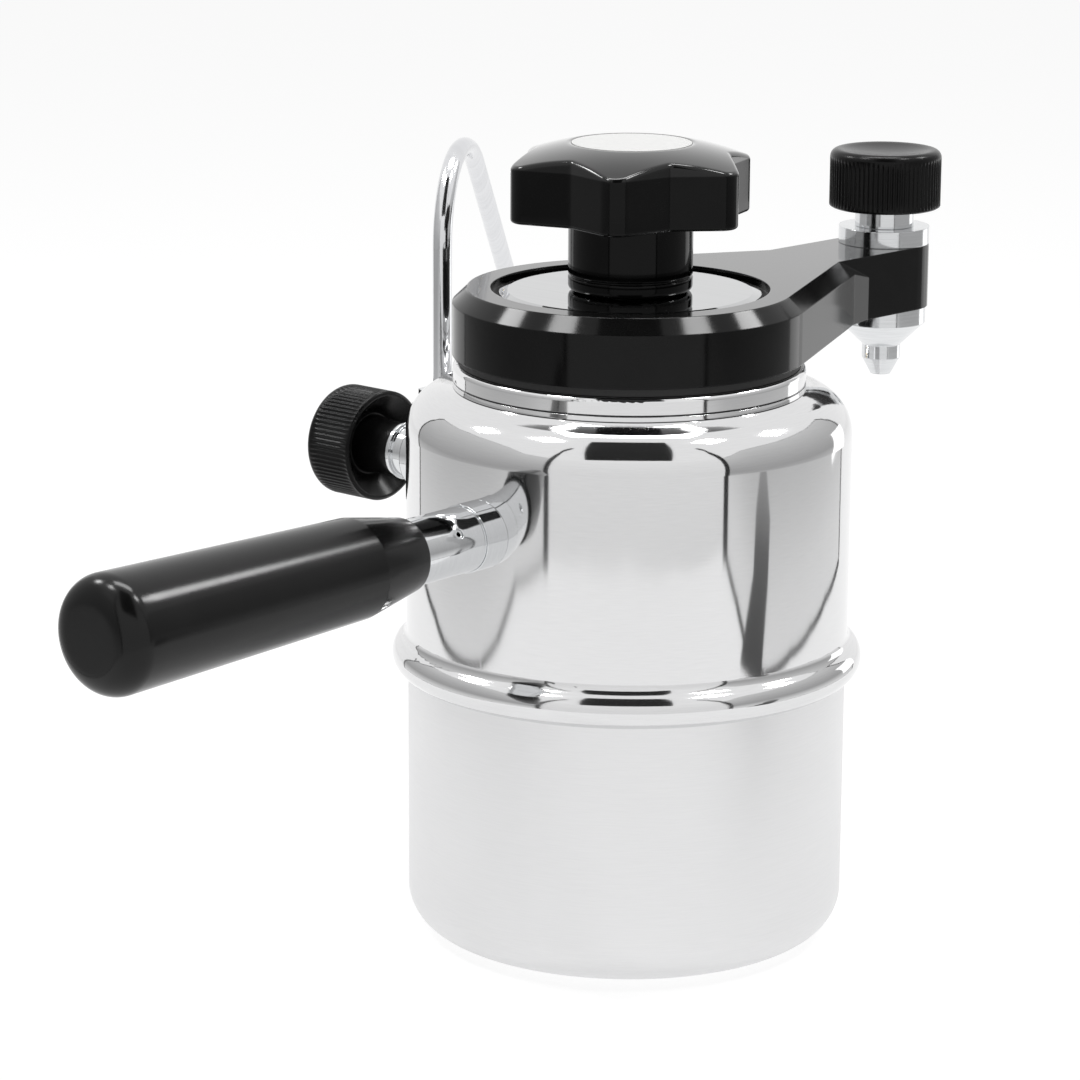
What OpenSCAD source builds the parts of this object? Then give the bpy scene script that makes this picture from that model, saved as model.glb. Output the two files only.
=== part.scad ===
// Stovetop espresso maker with a clamped head, a coffee tap and a steam wand.
// Sizes are in millimetres. The origin is the centre of the base's underside.
// +Z is up, -X runs along the handle, +Y along the steam valve, and the coffee arm points near +X.

/* [Boiler] */
// Outer radius of the lower cup
cup_r = 50; // [44:0.5:60]
// Wall of the pressed steel
wall = 1.2; // [0.8:0.1:1.6]
// Thickness of the base
base_t = 2.4; // [1.6:0.1:4]
// Outer fillet between base and wall
base_fillet = 9.2; // [5:0.1:12]
// Step from the cup's wall out to the upper shell's wall
shell_step = 0.45; // [0.3:0.05:0.8]
// Height of the seam bead's centre
seam_z = 64.7; // [55:0.1:72]
// Radius of the seam bead's section
bead_r = 4.2; // [3.5:0.1:5]
// How far the bead stands out of the upper shell
bead_out = 3.2; // [2.6:0.1:3.4]
// Fillet between the bead and the wall above it
bead_fillet = 2.5; // [1.5:0.1:4]
// Height of the shoulder's flat top
shoulder_z = 126.3; // [118:0.1:135]
// Outer fillet of the shoulder
shoulder_fillet = 10; // [7:0.1:10]

/* [Neck and brew group] */
// Outer radius of the neck ring
neck_r = 39.8; // [38.5:0.1:40]
// Height of the neck ring above the shoulder
neck_h = 5.5; // [4.5:0.1:8]
// Rounded top edge of the neck ring
neck_round = 1.2; // [0.5:0.1:2]
// Radius of the spigot that drops into the shell's mouth
spigot_r = 36; // [35:0.1:37]
// Length of the spigot
spigot_h = 4.3; // [3:0.1:6]
// Radius inside the neck's lip
lip_r = 31.5; // [30.5:0.1:32.5]
// Radius of the counterbore that takes the rims
rim_bore_r = 33.5; // [33:0.1:34.5]
// Thickness of the funnel's rim
funnel_rim_t = 1.4; // [1:0.1:2]
// Thickness of the basket's rim
basket_rim_t = 0.8; // [0.6:0.1:1.2]
// Wall of the funnel
funnel_wall = 1; // [0.8:0.1:1.4]
// Height of the ledge inside the funnel, above the boiler's base
ledge_z = 104; // [98:0.5:108]
// Width of the ledge inside the funnel
ledge_w = 2; // [1.5:0.1:3]
// Height of the funnel's cone
cone_h = 12; // [8:0.5:18]
// Bore of the siphon tube
siphon_bore_r = 3; // [2:0.1:3.5]
// Gap between the siphon tube and the boiler's floor
siphon_gap = 4; // [2:0.5:8]
// Depth of the filter basket below its rim
basket_depth = 22; // [16:0.5:22.5]
// Wall of the basket and of the screen
basket_wall = 0.8; // [0.6:0.1:1]
// Radius of the clamp stud
stud_r = 4; // [3.5:0.1:4.5]

/* [Head] */
// Thickness of the gasket between the neck ring and the cap
gasket_t = 1.8; // [1.4:0.1:2.6]
// Outer radius of the cap
cap_r = 39.94; // [39.5:0.02:42]
// Height of the cap
cap_h = 15.1; // [14:0.1:20]
// Width of the cap's chamfer
chamfer = 3.3; // [1.5:0.1:4]
// Radius of the recess in the cap's top
recess_r = 31.4; // [29:0.1:33]
// Depth of the recess in the cap's top
recess_d = 2; // [1.6:0.1:3]
// Thickness of the steel disc in the recess
disc_t = 1.4; // [0.8:0.1:1.8]
// Radius of the steel disc
disc_r = 29.5; // [28:0.1:30.5]
// Width of the bevel round the steel disc
disc_bevel = 2; // [1:0.1:3]
// Radius of the brewing space under the cap
cavity_r = 28.5; // [26:0.1:29]
// Height of the brewing space under the cap
cavity_h = 6.5; // [5:0.1:8]
// Distance from the boiler's axis to the coffee tap's axis
tap_x = 87; // [80:0.5:100]
// Width of the arm's end block
block_w = 21.6; // [20:0.1:25]
// Where the tapering arm meets the end block
block_x = 65.6; // [62:0.1:70]
// Length of the flat that eases the corner between the arm and the block
corner_l = 3.8; // [2:0.1:6]
// Turn of the arm from the handle's line, as the head is clamped
arm_turn = -4.5; // [-20:0.5:20]
// Radius of the coffee channel in the arm
channel_r = 2.2; // [1.5:0.1:2.6]
// How far the coffee channel starts inside the brewing space's wall
channel_lap = 3; // [2:0.1:5]

/* [Star knob] */
// Number of lobes
lobes = 6; // [5:1:7]
// Radius of the knob at its lobe tips
lobe_r = 28.5; // [27:0.1:31]
// Radius of each lobe's rounded tip
lobe_tip_r = 4.5; // [3:0.1:5]
// Radius of the knob at the bottom of its valleys
valley_r = 22.2; // [20:0.1:24]
// Radius of the hollow of each valley
valley_round = 2.5; // [1.5:0.1:4]
// Turn of the first lobe from the handle's line
lobe_turn = 32; // [0:0.5:60]
// Radius of the hub
hub_r = 14; // [12:0.1:15]
// Height of the hub below the lobes
hub_h = 15.5; // [12:0.1:18]
// Rounding of the hub's foot
hub_round = 1.3; // [0.6:0.1:2]
// Width of the groove round the hub's foot
foot_groove_w = 0.7; // [0.4:0.1:1.2]
// Depth of the groove round the hub's foot
foot_groove_d = 0.5; // [0.3:0.1:0.8]
// Height of the lobes at their tips
lobe_h = 12.9; // [10:0.1:16]
// Rise of the knob's top from the lobe tips to the label
crown_h = 3.8; // [2:0.1:6]
// Radius of the rounded edges of the lobes
lobe_edge = 1; // [0.6:0.1:1.6]
// Radius of the label disc
label_r = 14.4; // [12:0.1:15]
// Thickness of the label disc
label_t = 0.5; // [0.4:0.1:1]
// Thickness of the thrust washer
washer_t = 0.9; // [0.6:0.1:1.4]
// Radius of the thrust washer
washer_r = 11; // [9:0.1:11.4]
// Radius of the threaded insert
insert_r = 7; // [6:0.1:8]
// How far the stud ends below the lobes' top
stud_drop = 4; // [3:0.1:6]

/* [Valves] */
// Radius of the valve knobs
vknob_r = 13.25; // [12:0.05:15]
// Height of the valve knobs
vknob_h = 13.9; // [11:0.1:16]
// Number of flutes round a valve knob
flutes = 72; // [48:4:90]
// Depth of the flutes
flute_d = 0.35; // [0.2:0.05:0.5]
// Rounded rim of the valve knobs
vknob_round = 1.5; // [0.8:0.1:2.5]
// Depth of the dish in a valve knob's top
dish_d = 1.2; // [0.6:0.1:2]
// Width of the lip round the hollow under a valve knob
knob_lip = 0.4; // [0.3:0.1:1.5]
// Radius of the hollow's floor under a valve knob
hollow_r = 7.4; // [6.5:0.1:9]
// Depth of the hollow under a valve knob
hollow_d = 4.5; // [2:0.1:5.5]
// Radius of the valve spindles
spindle_r = 3; // [2.4:0.1:3.4]
// Thickness left between a spindle's bore and the knob's dish
knob_roof = 2; // [1.5:0.1:3]
// Radius of the seat discs
seat_r = 4.6; // [4:0.1:5]
// Thickness of the seat discs
seat_t = 2.4; // [1.6:0.1:3]
// Travel of a valve from closed to open
valve_travel = 2.25; // [1.5:0.05:2.5]
// Radius of the coffee tap's bonnet
bonnet_r = 10.8; // [9.5:0.1:11]
// Height of the coffee tap's bonnet
bonnet_h = 4; // [2.5:0.1:5]
// Radius of the coffee tap's gland
tap_gland_r = 7; // [6:0.1:8]
// Height of the coffee tap's gland above the bonnet
tap_gland_h = 4.4; // [4:0.1:6]
// Depth of the bonnet's plug in the arm
plug_l = 4.5; // [3.5:0.1:4.6]
// Room above the coffee tap's seat disc when it is open
tap_play = 1.35; // [1:0.05:2]
// Height of the steam valve's axis above the base
steam_z = 100.8; // [95:0.1:104]
// Radius of the steam valve's body
valve_body_r = 8; // [7.5:0.1:10]
// Distance from the wall to the outer end of the steam valve's body
valve_body_l = 13; // [12.5:0.1:16]
// Radius of the steam valve's gland
steam_gland_r = 6.1; // [5.5:0.1:7]
// Length of the steam valve's gland
steam_gland_h = 5.6; // [4:0.1:8]
// Height of the collar at the gland's knob end
collar_h = 0.8; // [0.4:0.1:1]
// Width of the collar at the gland's knob end
collar_l = 1; // [0.6:0.1:3]
// How far the steam knob's boss stands out below its rim
steam_boss_l = 6.2; // [4:0.1:8]
// Radius of the steam knob's boss at its end
steam_boss_r = 6.2; // [5:0.1:7]
// Radius of the passage from the boiler into the steam valve
inlet_r = 2; // [1.5:0.1:2.5]
// Room above the steam valve's seat disc when it is open
steam_play = 3.95; // [3:0.05:4.5]

/* [Spout nozzle] */
// Radius of the nozzle's upper cylinder
nozzle_r = 10.4; // [9:0.1:11]
// Height of the nozzle's upper cylinder
nozzle_h = 4; // [3:0.1:6]
// Height of the nozzle's large cone
nozzle_cone_h = 5.6; // [4:0.1:8]
// Radius of the nozzle's lower cylinder
nozzle_low_r = 4.6; // [3.6:0.1:6]
// Height of the nozzle's lower cylinder
nozzle_low_h = 3.2; // [2:0.1:5]
// Radius of the nozzle's end
nozzle_tip_r = 2.45; // [2.2:0.05:3]
// Height of the nozzle's end cone
nozzle_tip_h = 4; // [3:0.1:6]
// Radius of the nozzle's bore
nozzle_bore_r = 1.6; // [1:0.1:2]

/* [Steam wand] */
// Radius of the wand's tube
wand_r = 2.25; // [2:0.05:3]
// Bore of the wand's tube
wand_bore_r = 1.4; // [1:0.05:1.6]
// Distance from the wall to the wand's rising leg
wand_out = 6.4; // [6:0.1:7.5]
// Height where the wand starts to bend
wand_bend_z = 151; // [135:0.5:160]
// Radius of the wand's bend, at the tube's centre
wand_bend_r = 20.5; // [14:0.5:24]
// Slant of the wand's falling leg from the vertical
wand_slant = 47; // [20:1:60]
// Turn of the wand's plane from the handle's line
wand_turn = 29; // [10:1:60]
// Length of the wand's falling leg
wand_leg = 74; // [40:1:90]
// Length of the wand's end nozzle
wand_tip_l = 9; // [6:0.5:14]
// Radius of the wand's end nozzle
wand_tip_r = 3.4; // [3.2:0.1:5]
// Height of the wand's boss above the steam valve's axis
boss_h = 10.5; // [9.5:0.1:14]
// Height of the wand nut
wand_nut_h = 6; // [4:0.1:8]
// Width of the wand nut across its flats
wand_nut_w = 10; // [8:0.1:12]

/* [Handle] */
// Height of the handle's axis above the base
handle_z = 101.1; // [95:0.1:108]
// Radius of the ring against the wall
base_ring_r = 7.6; // [7:0.1:9]
// Length of the ring against the wall
base_ring_l = 6.5; // [4:0.1:8]
// Radius of the ferrule
ferrule_r = 7.3; // [6.5:0.1:7.6]
// Length of the ferrule
ferrule_l = 18.1; // [14:0.1:26]
// Radius of the rod inside the handle
rod_r = 4; // [3:0.1:4.5]
// Depth of the rod inside the grip
rod_in = 60; // [40:1:80]
// Radius of the cross pin, which is a rolled tube
pin_r = 1.1; // [0.8:0.1:1.4]
// Bore of the cross pin
pin_bore_r = 0.6; // [0.3:0.1:0.7]
// How far the cross pin's end lies below the ferrule's surface
pin_sink = 0.3; // [0.1:0.1:0.6]
// Tilt of the cross pin above the horizontal
pin_tilt = 30; // [0:1:45]
// Radius of the grip at the ferrule
grip_neck_r = 8.2; // [7.7:0.1:9]
// Length of the grip's cone
grip_cone_l = 16; // [10:0.5:25]
// Radius of the grip at its cone's end
grip_r = 11; // [9.5:0.1:13]
// Radius of the grip towards its outer end
grip_end_r = 12.65; // [11:0.05:14]
// Length of the grip
grip_l = 91; // [75:0.5:105]
// Rounding of the grip's outer end
grip_round = 6; // [3:0.1:9]

/* [Safety valve] */
// Turn of the safety valve from the handle's line
safety_turn = 45; // [25:1:60]
// Height of the safety valve's axis
safety_z = 108; // [96:0.5:110]
// Radius of the safety valve's body
safety_r = 6.5; // [6:0.1:8]
// Length of the safety valve's body
safety_l = 13; // [11:0.1:16]
// Bore of the safety valve's spring chamber
safety_bore_r = 4.5; // [4.2:0.1:5]
// Thickness of the safety valve's cap
safety_cap_t = 2.2; // [1.6:0.1:3]
// Radius of the safety valve's stem
safety_stem_r = 1.5; // [1:0.1:1.6]
// Radius of the safety valve's poppet
poppet_r = 3.6; // [3.3:0.1:4]
// Thickness of the safety valve's poppet
poppet_t = 2; // [1.4:0.1:3]
// Lift of the safety valve
safety_lift = 1.5; // [0.8:0.1:2]
// Mean radius of the spring
spring_r = 3; // [2.8:0.1:3.2]
// Radius of the spring's wire
wire_r = 0.45; // [0.3:0.05:0.5]
// Number of turns in the spring
spring_turns = 5; // [3:1:6]

/* [Fits] */
// Gap between round faces that are fixed to each other
fit_gap = 0.05; // [0.02:0.01:0.1]
// Radial clearance of spindles and stems in their bores
run_gap = 0.08; // [0.04:0.01:0.1]
// Gap between flat faces that part when a piece moves
part_gap = 0.1; // [0.05:0.05:0.3]
// Open clearance round a piece that passes through another
pass_gap = 0.5; // [0.3:0.1:1]

/* [Hidden] */
$fn = 96;
eps = 0.01;

// Radii of the boiler's walls
shell_r = cup_r + shell_step;
shell_in = shell_r - wall;
cup_in = cup_r - wall;
// The cup's rim stands inside the bead and meets a step in the shell
rim_z = seam_z + bead_r / 3;
// Centres of the bead and of the fillet above it
bead_c = [shell_r + bead_out - bead_r, seam_z];
fillet_dx = shell_r + bead_fillet - bead_c[0];
fillet_dz = sqrt(pow(bead_r + bead_fillet, 2) - pow(fillet_dx, 2));
fillet_c = [shell_r + bead_fillet, seam_z + fillet_dz];

// Heights of the neck and of what hangs in it
neck_z = shoulder_z + neck_h;
basket_rim_z = neck_z - basket_rim_t;
funnel_rim_z = basket_rim_z - funnel_rim_t;
lip_z = shoulder_z - spigot_h;
funnel_r = lip_r - pass_gap;
funnel_in = funnel_r - funnel_wall;
ledge_r = funnel_in - ledge_w;
rim_r = rim_bore_r - pass_gap / 2;
lug_r = rim_bore_r - pass_gap;
basket_r = funnel_in - pass_gap;
basket_z = basket_rim_z - basket_depth;
stud_hole_r = stud_r + pass_gap;
siphon_r = siphon_bore_r + funnel_wall;
cone_z = ledge_z - cone_h;

// Heights of the head
gasket_z = neck_z + part_gap;
cap_z = gasket_z + gasket_t;
cap_top = cap_z + cap_h;
disc_z = cap_top - recess_d;
screen_z = cap_z + 1.5;

// Side of the arm: the tangent from the block's corner to the cap
block_d = norm([block_x, block_w / 2]);
tangent_a = atan2(block_w / 2, block_x) + acos(cap_r / block_d);
tangent_p = [cap_r * cos(tangent_a), cap_r * sin(tangent_a)];
side_a = 90 - tangent_a;
side_l = norm([block_x - tangent_p[0], block_w / 2 - tangent_p[1]]);
corner_p = [block_x - corner_l * cos(side_a), block_w / 2 + corner_l * sin(side_a)];

// Heights of the star knob
washer_z = disc_z + disc_t + part_gap;
foot_z = washer_z + part_gap;
hub_z = washer_z + washer_t + part_gap;
lobe_z = hub_z + hub_h;
lobe_top = lobe_z + lobe_h;
knob_top = lobe_top + crown_h;
stud_top = lobe_top - stud_drop;
bore_top = stud_top + stud_drop / 2;
crown_r = label_r + (lobe_r - label_r) * 0.45;
// Plan of one lobe: the centres of its tip and of the valley beside it, and the flank between their arcs
half_a = 180 / lobes;
tip_c = [lobe_r - lobe_tip_r, 0];
valley_c = (valley_r + valley_round) * [cos(half_a), sin(half_a)];
touch = 0.99;
flank_a = atan2(valley_c[1], valley_c[0] - tip_c[0])
    - acos(touch * (lobe_tip_r + valley_round) / norm(valley_c - tip_c));
flank_p = tip_c + touch * lobe_tip_r * [cos(flank_a), sin(flank_a)];
flank_q = valley_c - touch * valley_round * [cos(flank_a), sin(flank_a)];

// Levels in a valve, measured from the face that carries the gland
tap_knob_z = bonnet_h + tap_gland_h + part_gap;
steam_knob_z = steam_gland_h + steam_boss_l + part_gap * 2;
seat_depth = plug_l + tap_play + valve_travel + seat_t;
steam_seat_depth = steam_play + valve_travel + seat_t;
chamber_r = seat_r + pass_gap;
swivel_r = 1.5;
swivel_l = 1.4;

// Places of the wand
wand_y = shell_r + wand_out;
wand_foot_z = steam_z + chamber_r + pass_gap;

// Places along the handle, measured outwards from the boiler's axis
ring_end = shell_r + base_ring_l;
ferrule_end = ring_end + ferrule_l;
grip_end = ferrule_end + grip_l;
pin_at = ring_end + ferrule_l * 0.4;

// Levels in the safety valve, measured outwards from the wall
poppet_at = 2.2;
spring_from = poppet_at + poppet_t + wire_r + part_gap;
spring_to = safety_l - wire_r - part_gap;
spring_pitch = (spring_to - spring_from) / spring_turns;

steel = [0.80, 0.81, 0.83];
satin = [0.86, 0.86, 0.87];
chrome = [0.74, 0.75, 0.77];
black = [0.07, 0.07, 0.08];
rubber = [0.12, 0.12, 0.12];
brass = [0.78, 0.64, 0.34];
pale = [0.93, 0.93, 0.92];

// Turn a shape so that its +Z points along the steam valve
module along_valve() {
    translate([0, 0, steam_z]) rotate([-90, 0, 0]) children();
}

// Turn a shape so that its +Z points along the handle
module along_handle() {
    translate([0, 0, handle_z]) rotate([0, -90, 0]) children();
}

// Turn a shape so that its +Z points along the safety valve, from the wall
module along_safety() {
    translate([0, 0, safety_z])
        rotate([0, 90, safety_turn])
            translate([0, 0, shell_r]) children();
}

// Turn a shape with the head
module with_head() {
    rotate(arm_turn) children();
}

// Move a shape to the coffee tap, from the arm's top face
module at_tap() {
    with_head() translate([tap_x, 0, cap_top]) children();
}

// Plain tube
module tube(ro, ri, h) {
    difference() {
        cylinder(r = ro, h = h);
        translate([0, 0, -eps]) cylinder(r = ri, h = h + 2 * eps);
    }
}

// Half section of a vessel: a flat end, a round edge of radius f and a straight wall
module vessel_section(r, h, f) {
    square([r - f, h]);
    translate([0, f]) square([r, h - f]);
    translate([r - f, f]) circle(r = f);
}

// The boiler's outer wall, for cutting saddles on what stands against it
module wall_cut(h) {
    translate([0, 0, -h / 2]) cylinder(r = shell_r + fit_gap, h = h, $fn = 96);
}

// Knob for both valves, with its rim's foot at z = 0: a fluted band between two round-edged ends,
// and a boss from the hollow's floor where the valve has one
module valve_knob(boss_l = 0) {
    end_r = vknob_r - flute_d - fit_gap;
    foot_h = vknob_round * 0.25;
    foot_r = end_r - foot_h * 0.6;
    color(black)
        difference() {
            union() {
                difference() {
                    union() {
                        translate([0, 0, foot_h])
                            linear_extrude(height = vknob_h - vknob_round - foot_h)
                                polygon([for (i = [0 : 2 * flutes - 1])
                                    let (r = vknob_r - (i % 2) * flute_d, a = i * 180 / flutes)
                                    [r * cos(a), r * sin(a)]]);
                        rotate_extrude() {
                            translate([0, vknob_h - vknob_round - eps])
                                square([end_r - vknob_round, vknob_round + eps]);
                            intersection() {
                                translate([end_r - vknob_round, vknob_h - vknob_round])
                                    circle(r = vknob_round);
                                translate([0, vknob_h - vknob_round - eps])
                                    square([end_r, vknob_round + eps]);
                            }
                        }
                        cylinder(r1 = foot_r, r2 = end_r, h = foot_h + eps);
                    }
                    dish();
                    translate([0, 0, -eps])
                        cylinder(r1 = foot_r - knob_lip, r2 = hollow_r, h = hollow_d + eps);
                }
                if (boss_l > 0)
                    translate([0, 0, -boss_l])
                        cylinder(r1 = steam_boss_r, r2 = hollow_r - fit_gap * 8,
                            h = boss_l + hollow_d + eps);
            }
            translate([0, 0, -boss_l - eps])
                cylinder(r = spindle_r + fit_gap, h = boss_l + vknob_h - dish_d - knob_roof);
        }
}

// Shallow spherical dish in a knob's top
module dish() {
    dish_span = vknob_r - vknob_round - 1;
    dish_r = (dish_span * dish_span + dish_d * dish_d) / (2 * dish_d);
    translate([0, 0, vknob_h + dish_r - dish_d]) sphere(r = dish_r);
}

// Spindle of a valve: from its swivel pin at the seat to its head in the knob
module valve_spindle(depth, knob_z) {
    foot = -depth + seat_t + part_gap;
    top = knob_z + vknob_h - dish_d - knob_roof - 2 * part_gap;
    color(chrome) {
        translate([0, 0, foot]) cylinder(r = spindle_r, h = top - foot);
        translate([0, 0, foot - swivel_l]) cylinder(r = swivel_r, h = swivel_l + eps);
    }
}

// Seat disc of a valve, which follows the spindle without turning
module valve_seat(depth) {
    color(rubber)
        translate([0, 0, -depth])
            difference() {
                cylinder(r = seat_r, h = seat_t);
                translate([0, 0, seat_t - swivel_l - part_gap])
                    cylinder(r = swivel_r + run_gap, h = swivel_l + 1);
            }
}

// Boiler

module lower_cup() {
    color(satin)
        rotate_extrude(convexity = 4)
            difference() {
                vessel_section(cup_r, rim_z, base_fillet);
                translate([0, base_t]) vessel_section(cup_in, rim_z, base_fillet - wall);
            }
}

module upper_shell() {
    color(steel)
        difference() {
            rotate_extrude(convexity = 6)
                difference() {
                    union() {
                        translate([0, shoulder_z]) mirror([0, 1])
                            vessel_section(shell_r, shoulder_z - seam_z, shoulder_fillet);
                        translate(bead_c) circle(r = bead_r);
                        difference() {
                            polygon([bead_c, fillet_c, [shell_r, fillet_c[1]], [shell_r - wall, seam_z]]);
                            translate(fillet_c) circle(r = bead_fillet);
                        }
                    }
                    translate([0, shoulder_z - wall]) mirror([0, 1])
                        vessel_section(shell_in, shoulder_z - wall, shoulder_fillet - wall);
                    square([cup_r + fit_gap, rim_z]);
                    translate([0, seam_z]) square([spigot_r + fit_gap, shoulder_z]);
                }
            along_valve() cylinder(r = valve_body_r / 2 + fit_gap, h = shell_r + wall);
            along_safety() translate([0, 0, -2 * wall])
                cylinder(r = safety_bore_r + fit_gap, h = 4 * wall);
        }
}

module neck_ring() {
    color(steel)
        difference() {
            rotate_extrude(convexity = 4)
                difference() {
                    union() {
                        translate([0, neck_z]) mirror([0, 1]) vessel_section(neck_r, neck_h, neck_round);
                        translate([0, lip_z]) square([spigot_r, spigot_h + eps]);
                    }
                    translate([0, lip_z - eps]) square([lip_r, neck_h + spigot_h + 1]);
                    translate([0, funnel_rim_z]) square([rim_bore_r, neck_h]);
                    translate([neck_r - 0.4, shoulder_z + 1.3]) square([1, 0.4]);
                }
            for (a = [0, 120, 240])
                rotate(a + 60)
                    translate([0, 0, lip_z - eps])
                        rotate_extrude(angle = 50)
                            translate([lip_r - 1, 0])
                                square([lug_r + pass_gap / 2 - lip_r + 1, neck_h + spigot_h]);
        }
}

// Brew group

// Holes through the basket's floor and the screen, in three rings
module sieve_holes(z) {
    for (ring = [[10.5, 8], [16, 12], [22, 18]])
        for (i = [0 : ring[1] - 1])
            rotate(i * 360 / ring[1])
                translate([ring[0], 0, z - 1])
                    cylinder(r = 0.8, h = basket_wall + 2, $fn = 16);
}

module brew_funnel() {
    lug_h = 3;
    color(steel) {
        rotate_extrude(convexity = 6)
            difference() {
                union() {
                    translate([0, funnel_rim_z]) square([rim_r, funnel_rim_t]);
                    translate([0, cone_z]) polygon([
                        [0, 0], [siphon_r, 0], [funnel_r, cone_h - funnel_wall],
                        [funnel_r, funnel_rim_z - cone_z + eps], [0, funnel_rim_z - cone_z + eps]]);
                    translate([0, base_t + siphon_gap]) square([siphon_r, cone_z - base_t - siphon_gap]);
                }
                translate([0, ledge_z]) square([funnel_in, basket_rim_z]);
                polygon([[0, cone_z], [siphon_bore_r, cone_z], [ledge_r, ledge_z - 1.5],
                    [ledge_r, ledge_z + eps], [0, ledge_z + eps]]);
                square([siphon_bore_r, cone_z + eps]);
            }
        for (a = [0, 120, 240])
            rotate(a)
                translate([0, 0, lip_z - lug_h])
                    rotate_extrude(angle = 40)
                        translate([funnel_r - funnel_wall / 2, 0])
                            square([lug_r - funnel_r + funnel_wall / 2, lug_h]);
    }
}

module clamp_stud() {
    foot_h = 3;
    color(chrome) {
        translate([0, 0, ledge_z]) cylinder(r = stud_r, h = stud_top - ledge_z);
        intersection() {
            for (a = [0, 120, 240])
                rotate(a)
                    translate([0, -stud_r * 0.75, ledge_z]) cube([funnel_in, stud_r * 1.5, foot_h]);
            cylinder(r = funnel_in - fit_gap, h = ledge_z + foot_h);
        }
        translate([0, 0, ledge_z]) cylinder(r = stud_r * 2, h = foot_h);
    }
}

module filter_basket() {
    tube_r = stud_hole_r + basket_wall;
    color(satin)
        difference() {
            rotate_extrude(convexity = 6) {
                translate([basket_r - basket_wall, basket_rim_z])
                    square([rim_r - basket_r + basket_wall, basket_rim_t]);
                translate([basket_r - basket_wall, basket_z])
                    square([basket_wall, basket_depth + basket_rim_t / 2]);
                translate([stud_hole_r, basket_z]) square([basket_r - stud_hole_r, basket_wall]);
                translate([stud_hole_r, basket_z]) square([tube_r - stud_hole_r, basket_depth]);
            }
            sieve_holes(basket_z);
        }
}

// Head

module head_gasket() {
    color(rubber)
        translate([0, 0, gasket_z])
            tube(neck_r - neck_round, basket_r + pass_gap, gasket_t);
}

module cap_arm() {
    color(black)
        with_head() difference() {
            union() {
                rotate_extrude(convexity = 4)
                    translate([0, cap_z]) polygon([
                        [0, 0], [cap_r, 0], [cap_r, cap_h - chamfer],
                        [cap_r - chamfer, cap_h], [0, cap_h]]);
                tapered_arm();
                end_block();
            }
            translate([0, 0, disc_z]) cylinder(r = recess_r, h = recess_d + 1);
            translate([0, 0, cap_z - 1]) cylinder(r = cavity_r, h = cavity_h + 1);
            translate([0, 0, cap_z - 1]) cylinder(r = cavity_r + 1.5, h = screen_z + basket_wall - cap_z + 1);
            translate([0, 0, cap_z]) cylinder(r = stud_hole_r, h = cap_h);
            translate([cavity_r - channel_lap, 0, cap_z + cavity_h - channel_r])
                rotate([0, 90, 0]) cylinder(r = channel_r, h = tap_x - cavity_r + channel_lap);
            translate([tap_x, 0, cap_top]) {
                translate([0, 0, -seat_depth - part_gap]) cylinder(r = chamber_r, h = seat_depth + 1);
                translate([0, 0, -plug_l - pass_gap])
                    cylinder(r = tap_gland_r + fit_gap, h = plug_l + 2 * pass_gap);
                translate([0, 0, -cap_h - 1]) cylinder(r = nozzle_bore_r + 1, h = cap_h);
            }
        }
}

// The arm between the cap and its end block, with the cap's chamfer along its two sides
module tapered_arm() {
    difference() {
        translate([0, 0, cap_z])
            linear_extrude(height = cap_top - cap_z)
                polygon([[0, 0], [tangent_p[0], -tangent_p[1]], [corner_p[0], -corner_p[1]],
                    [block_x + corner_l, -block_w / 2], [block_x + corner_l, block_w / 2],
                    corner_p, tangent_p]);
        for (side = [1, -1])
            translate([tangent_p[0], side * tangent_p[1], cap_top])
                rotate(-side * side_a)
                    translate([-chamfer * 2, 0, 0])
                        rotate([-side * 45, 0, 0])
                            translate([0, -chamfer * 2, -chamfer / sqrt(2)])
                                cube([side_l + 6 * chamfer, chamfer * 4, chamfer * 3]);
    }
}

// The end block, round about the tap's axis, which grows out of the chamfers at its inner end
module end_block() {
    start = block_x - 4 * chamfer;
    translate([0, 0, cap_z]) {
        translate([start, -block_w / 2, 0]) cube([tap_x - start, block_w, cap_top - cap_z]);
        translate([tap_x, 0, 0]) cylinder(r = block_w / 2, h = cap_top - cap_z);
    }
}

// Disc with a bevelled rim, which leaves a groove between it and the recess
module cap_disc() {
    rim_t = disc_t - disc_bevel / 5;
    color(steel)
        translate([0, 0, disc_z])
            rotate_extrude(convexity = 4)
                polygon([[stud_hole_r, 0], [disc_r, 0], [disc_r, rim_t],
                    [disc_r - disc_bevel, disc_t], [stud_hole_r, disc_t]]);
}

module upper_screen() {
    color(satin)
        difference() {
            translate([0, 0, screen_z]) tube(cavity_r + 1.5 - fit_gap, stud_hole_r, basket_wall);
            sieve_holes(screen_z);
        }
}

// Coffee tap

module tap_bonnet() {
    color(chrome)
        at_tap() difference() {
            union() {
                cylinder(r = bonnet_r, h = bonnet_h);
                translate([0, 0, -plug_l]) cylinder(r = tap_gland_r, h = plug_l + bonnet_h / 2);
            }
            translate([0, 0, -plug_l - pass_gap])
                cylinder(r = spindle_r + run_gap, h = plug_l + bonnet_h + 2 * pass_gap);
        }
}

module tap_gland() {
    color(chrome)
        at_tap() translate([0, 0, bonnet_h]) tube(tap_gland_r, spindle_r + run_gap, tap_gland_h);
}

module tap_seat_disc() {
    at_tap() valve_seat(seat_depth);
}

module tap_spindle() {
    at_tap() valve_spindle(seat_depth, tap_knob_z);
}

module tap_knob() {
    at_tap() translate([0, 0, tap_knob_z]) valve_knob();
}

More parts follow.
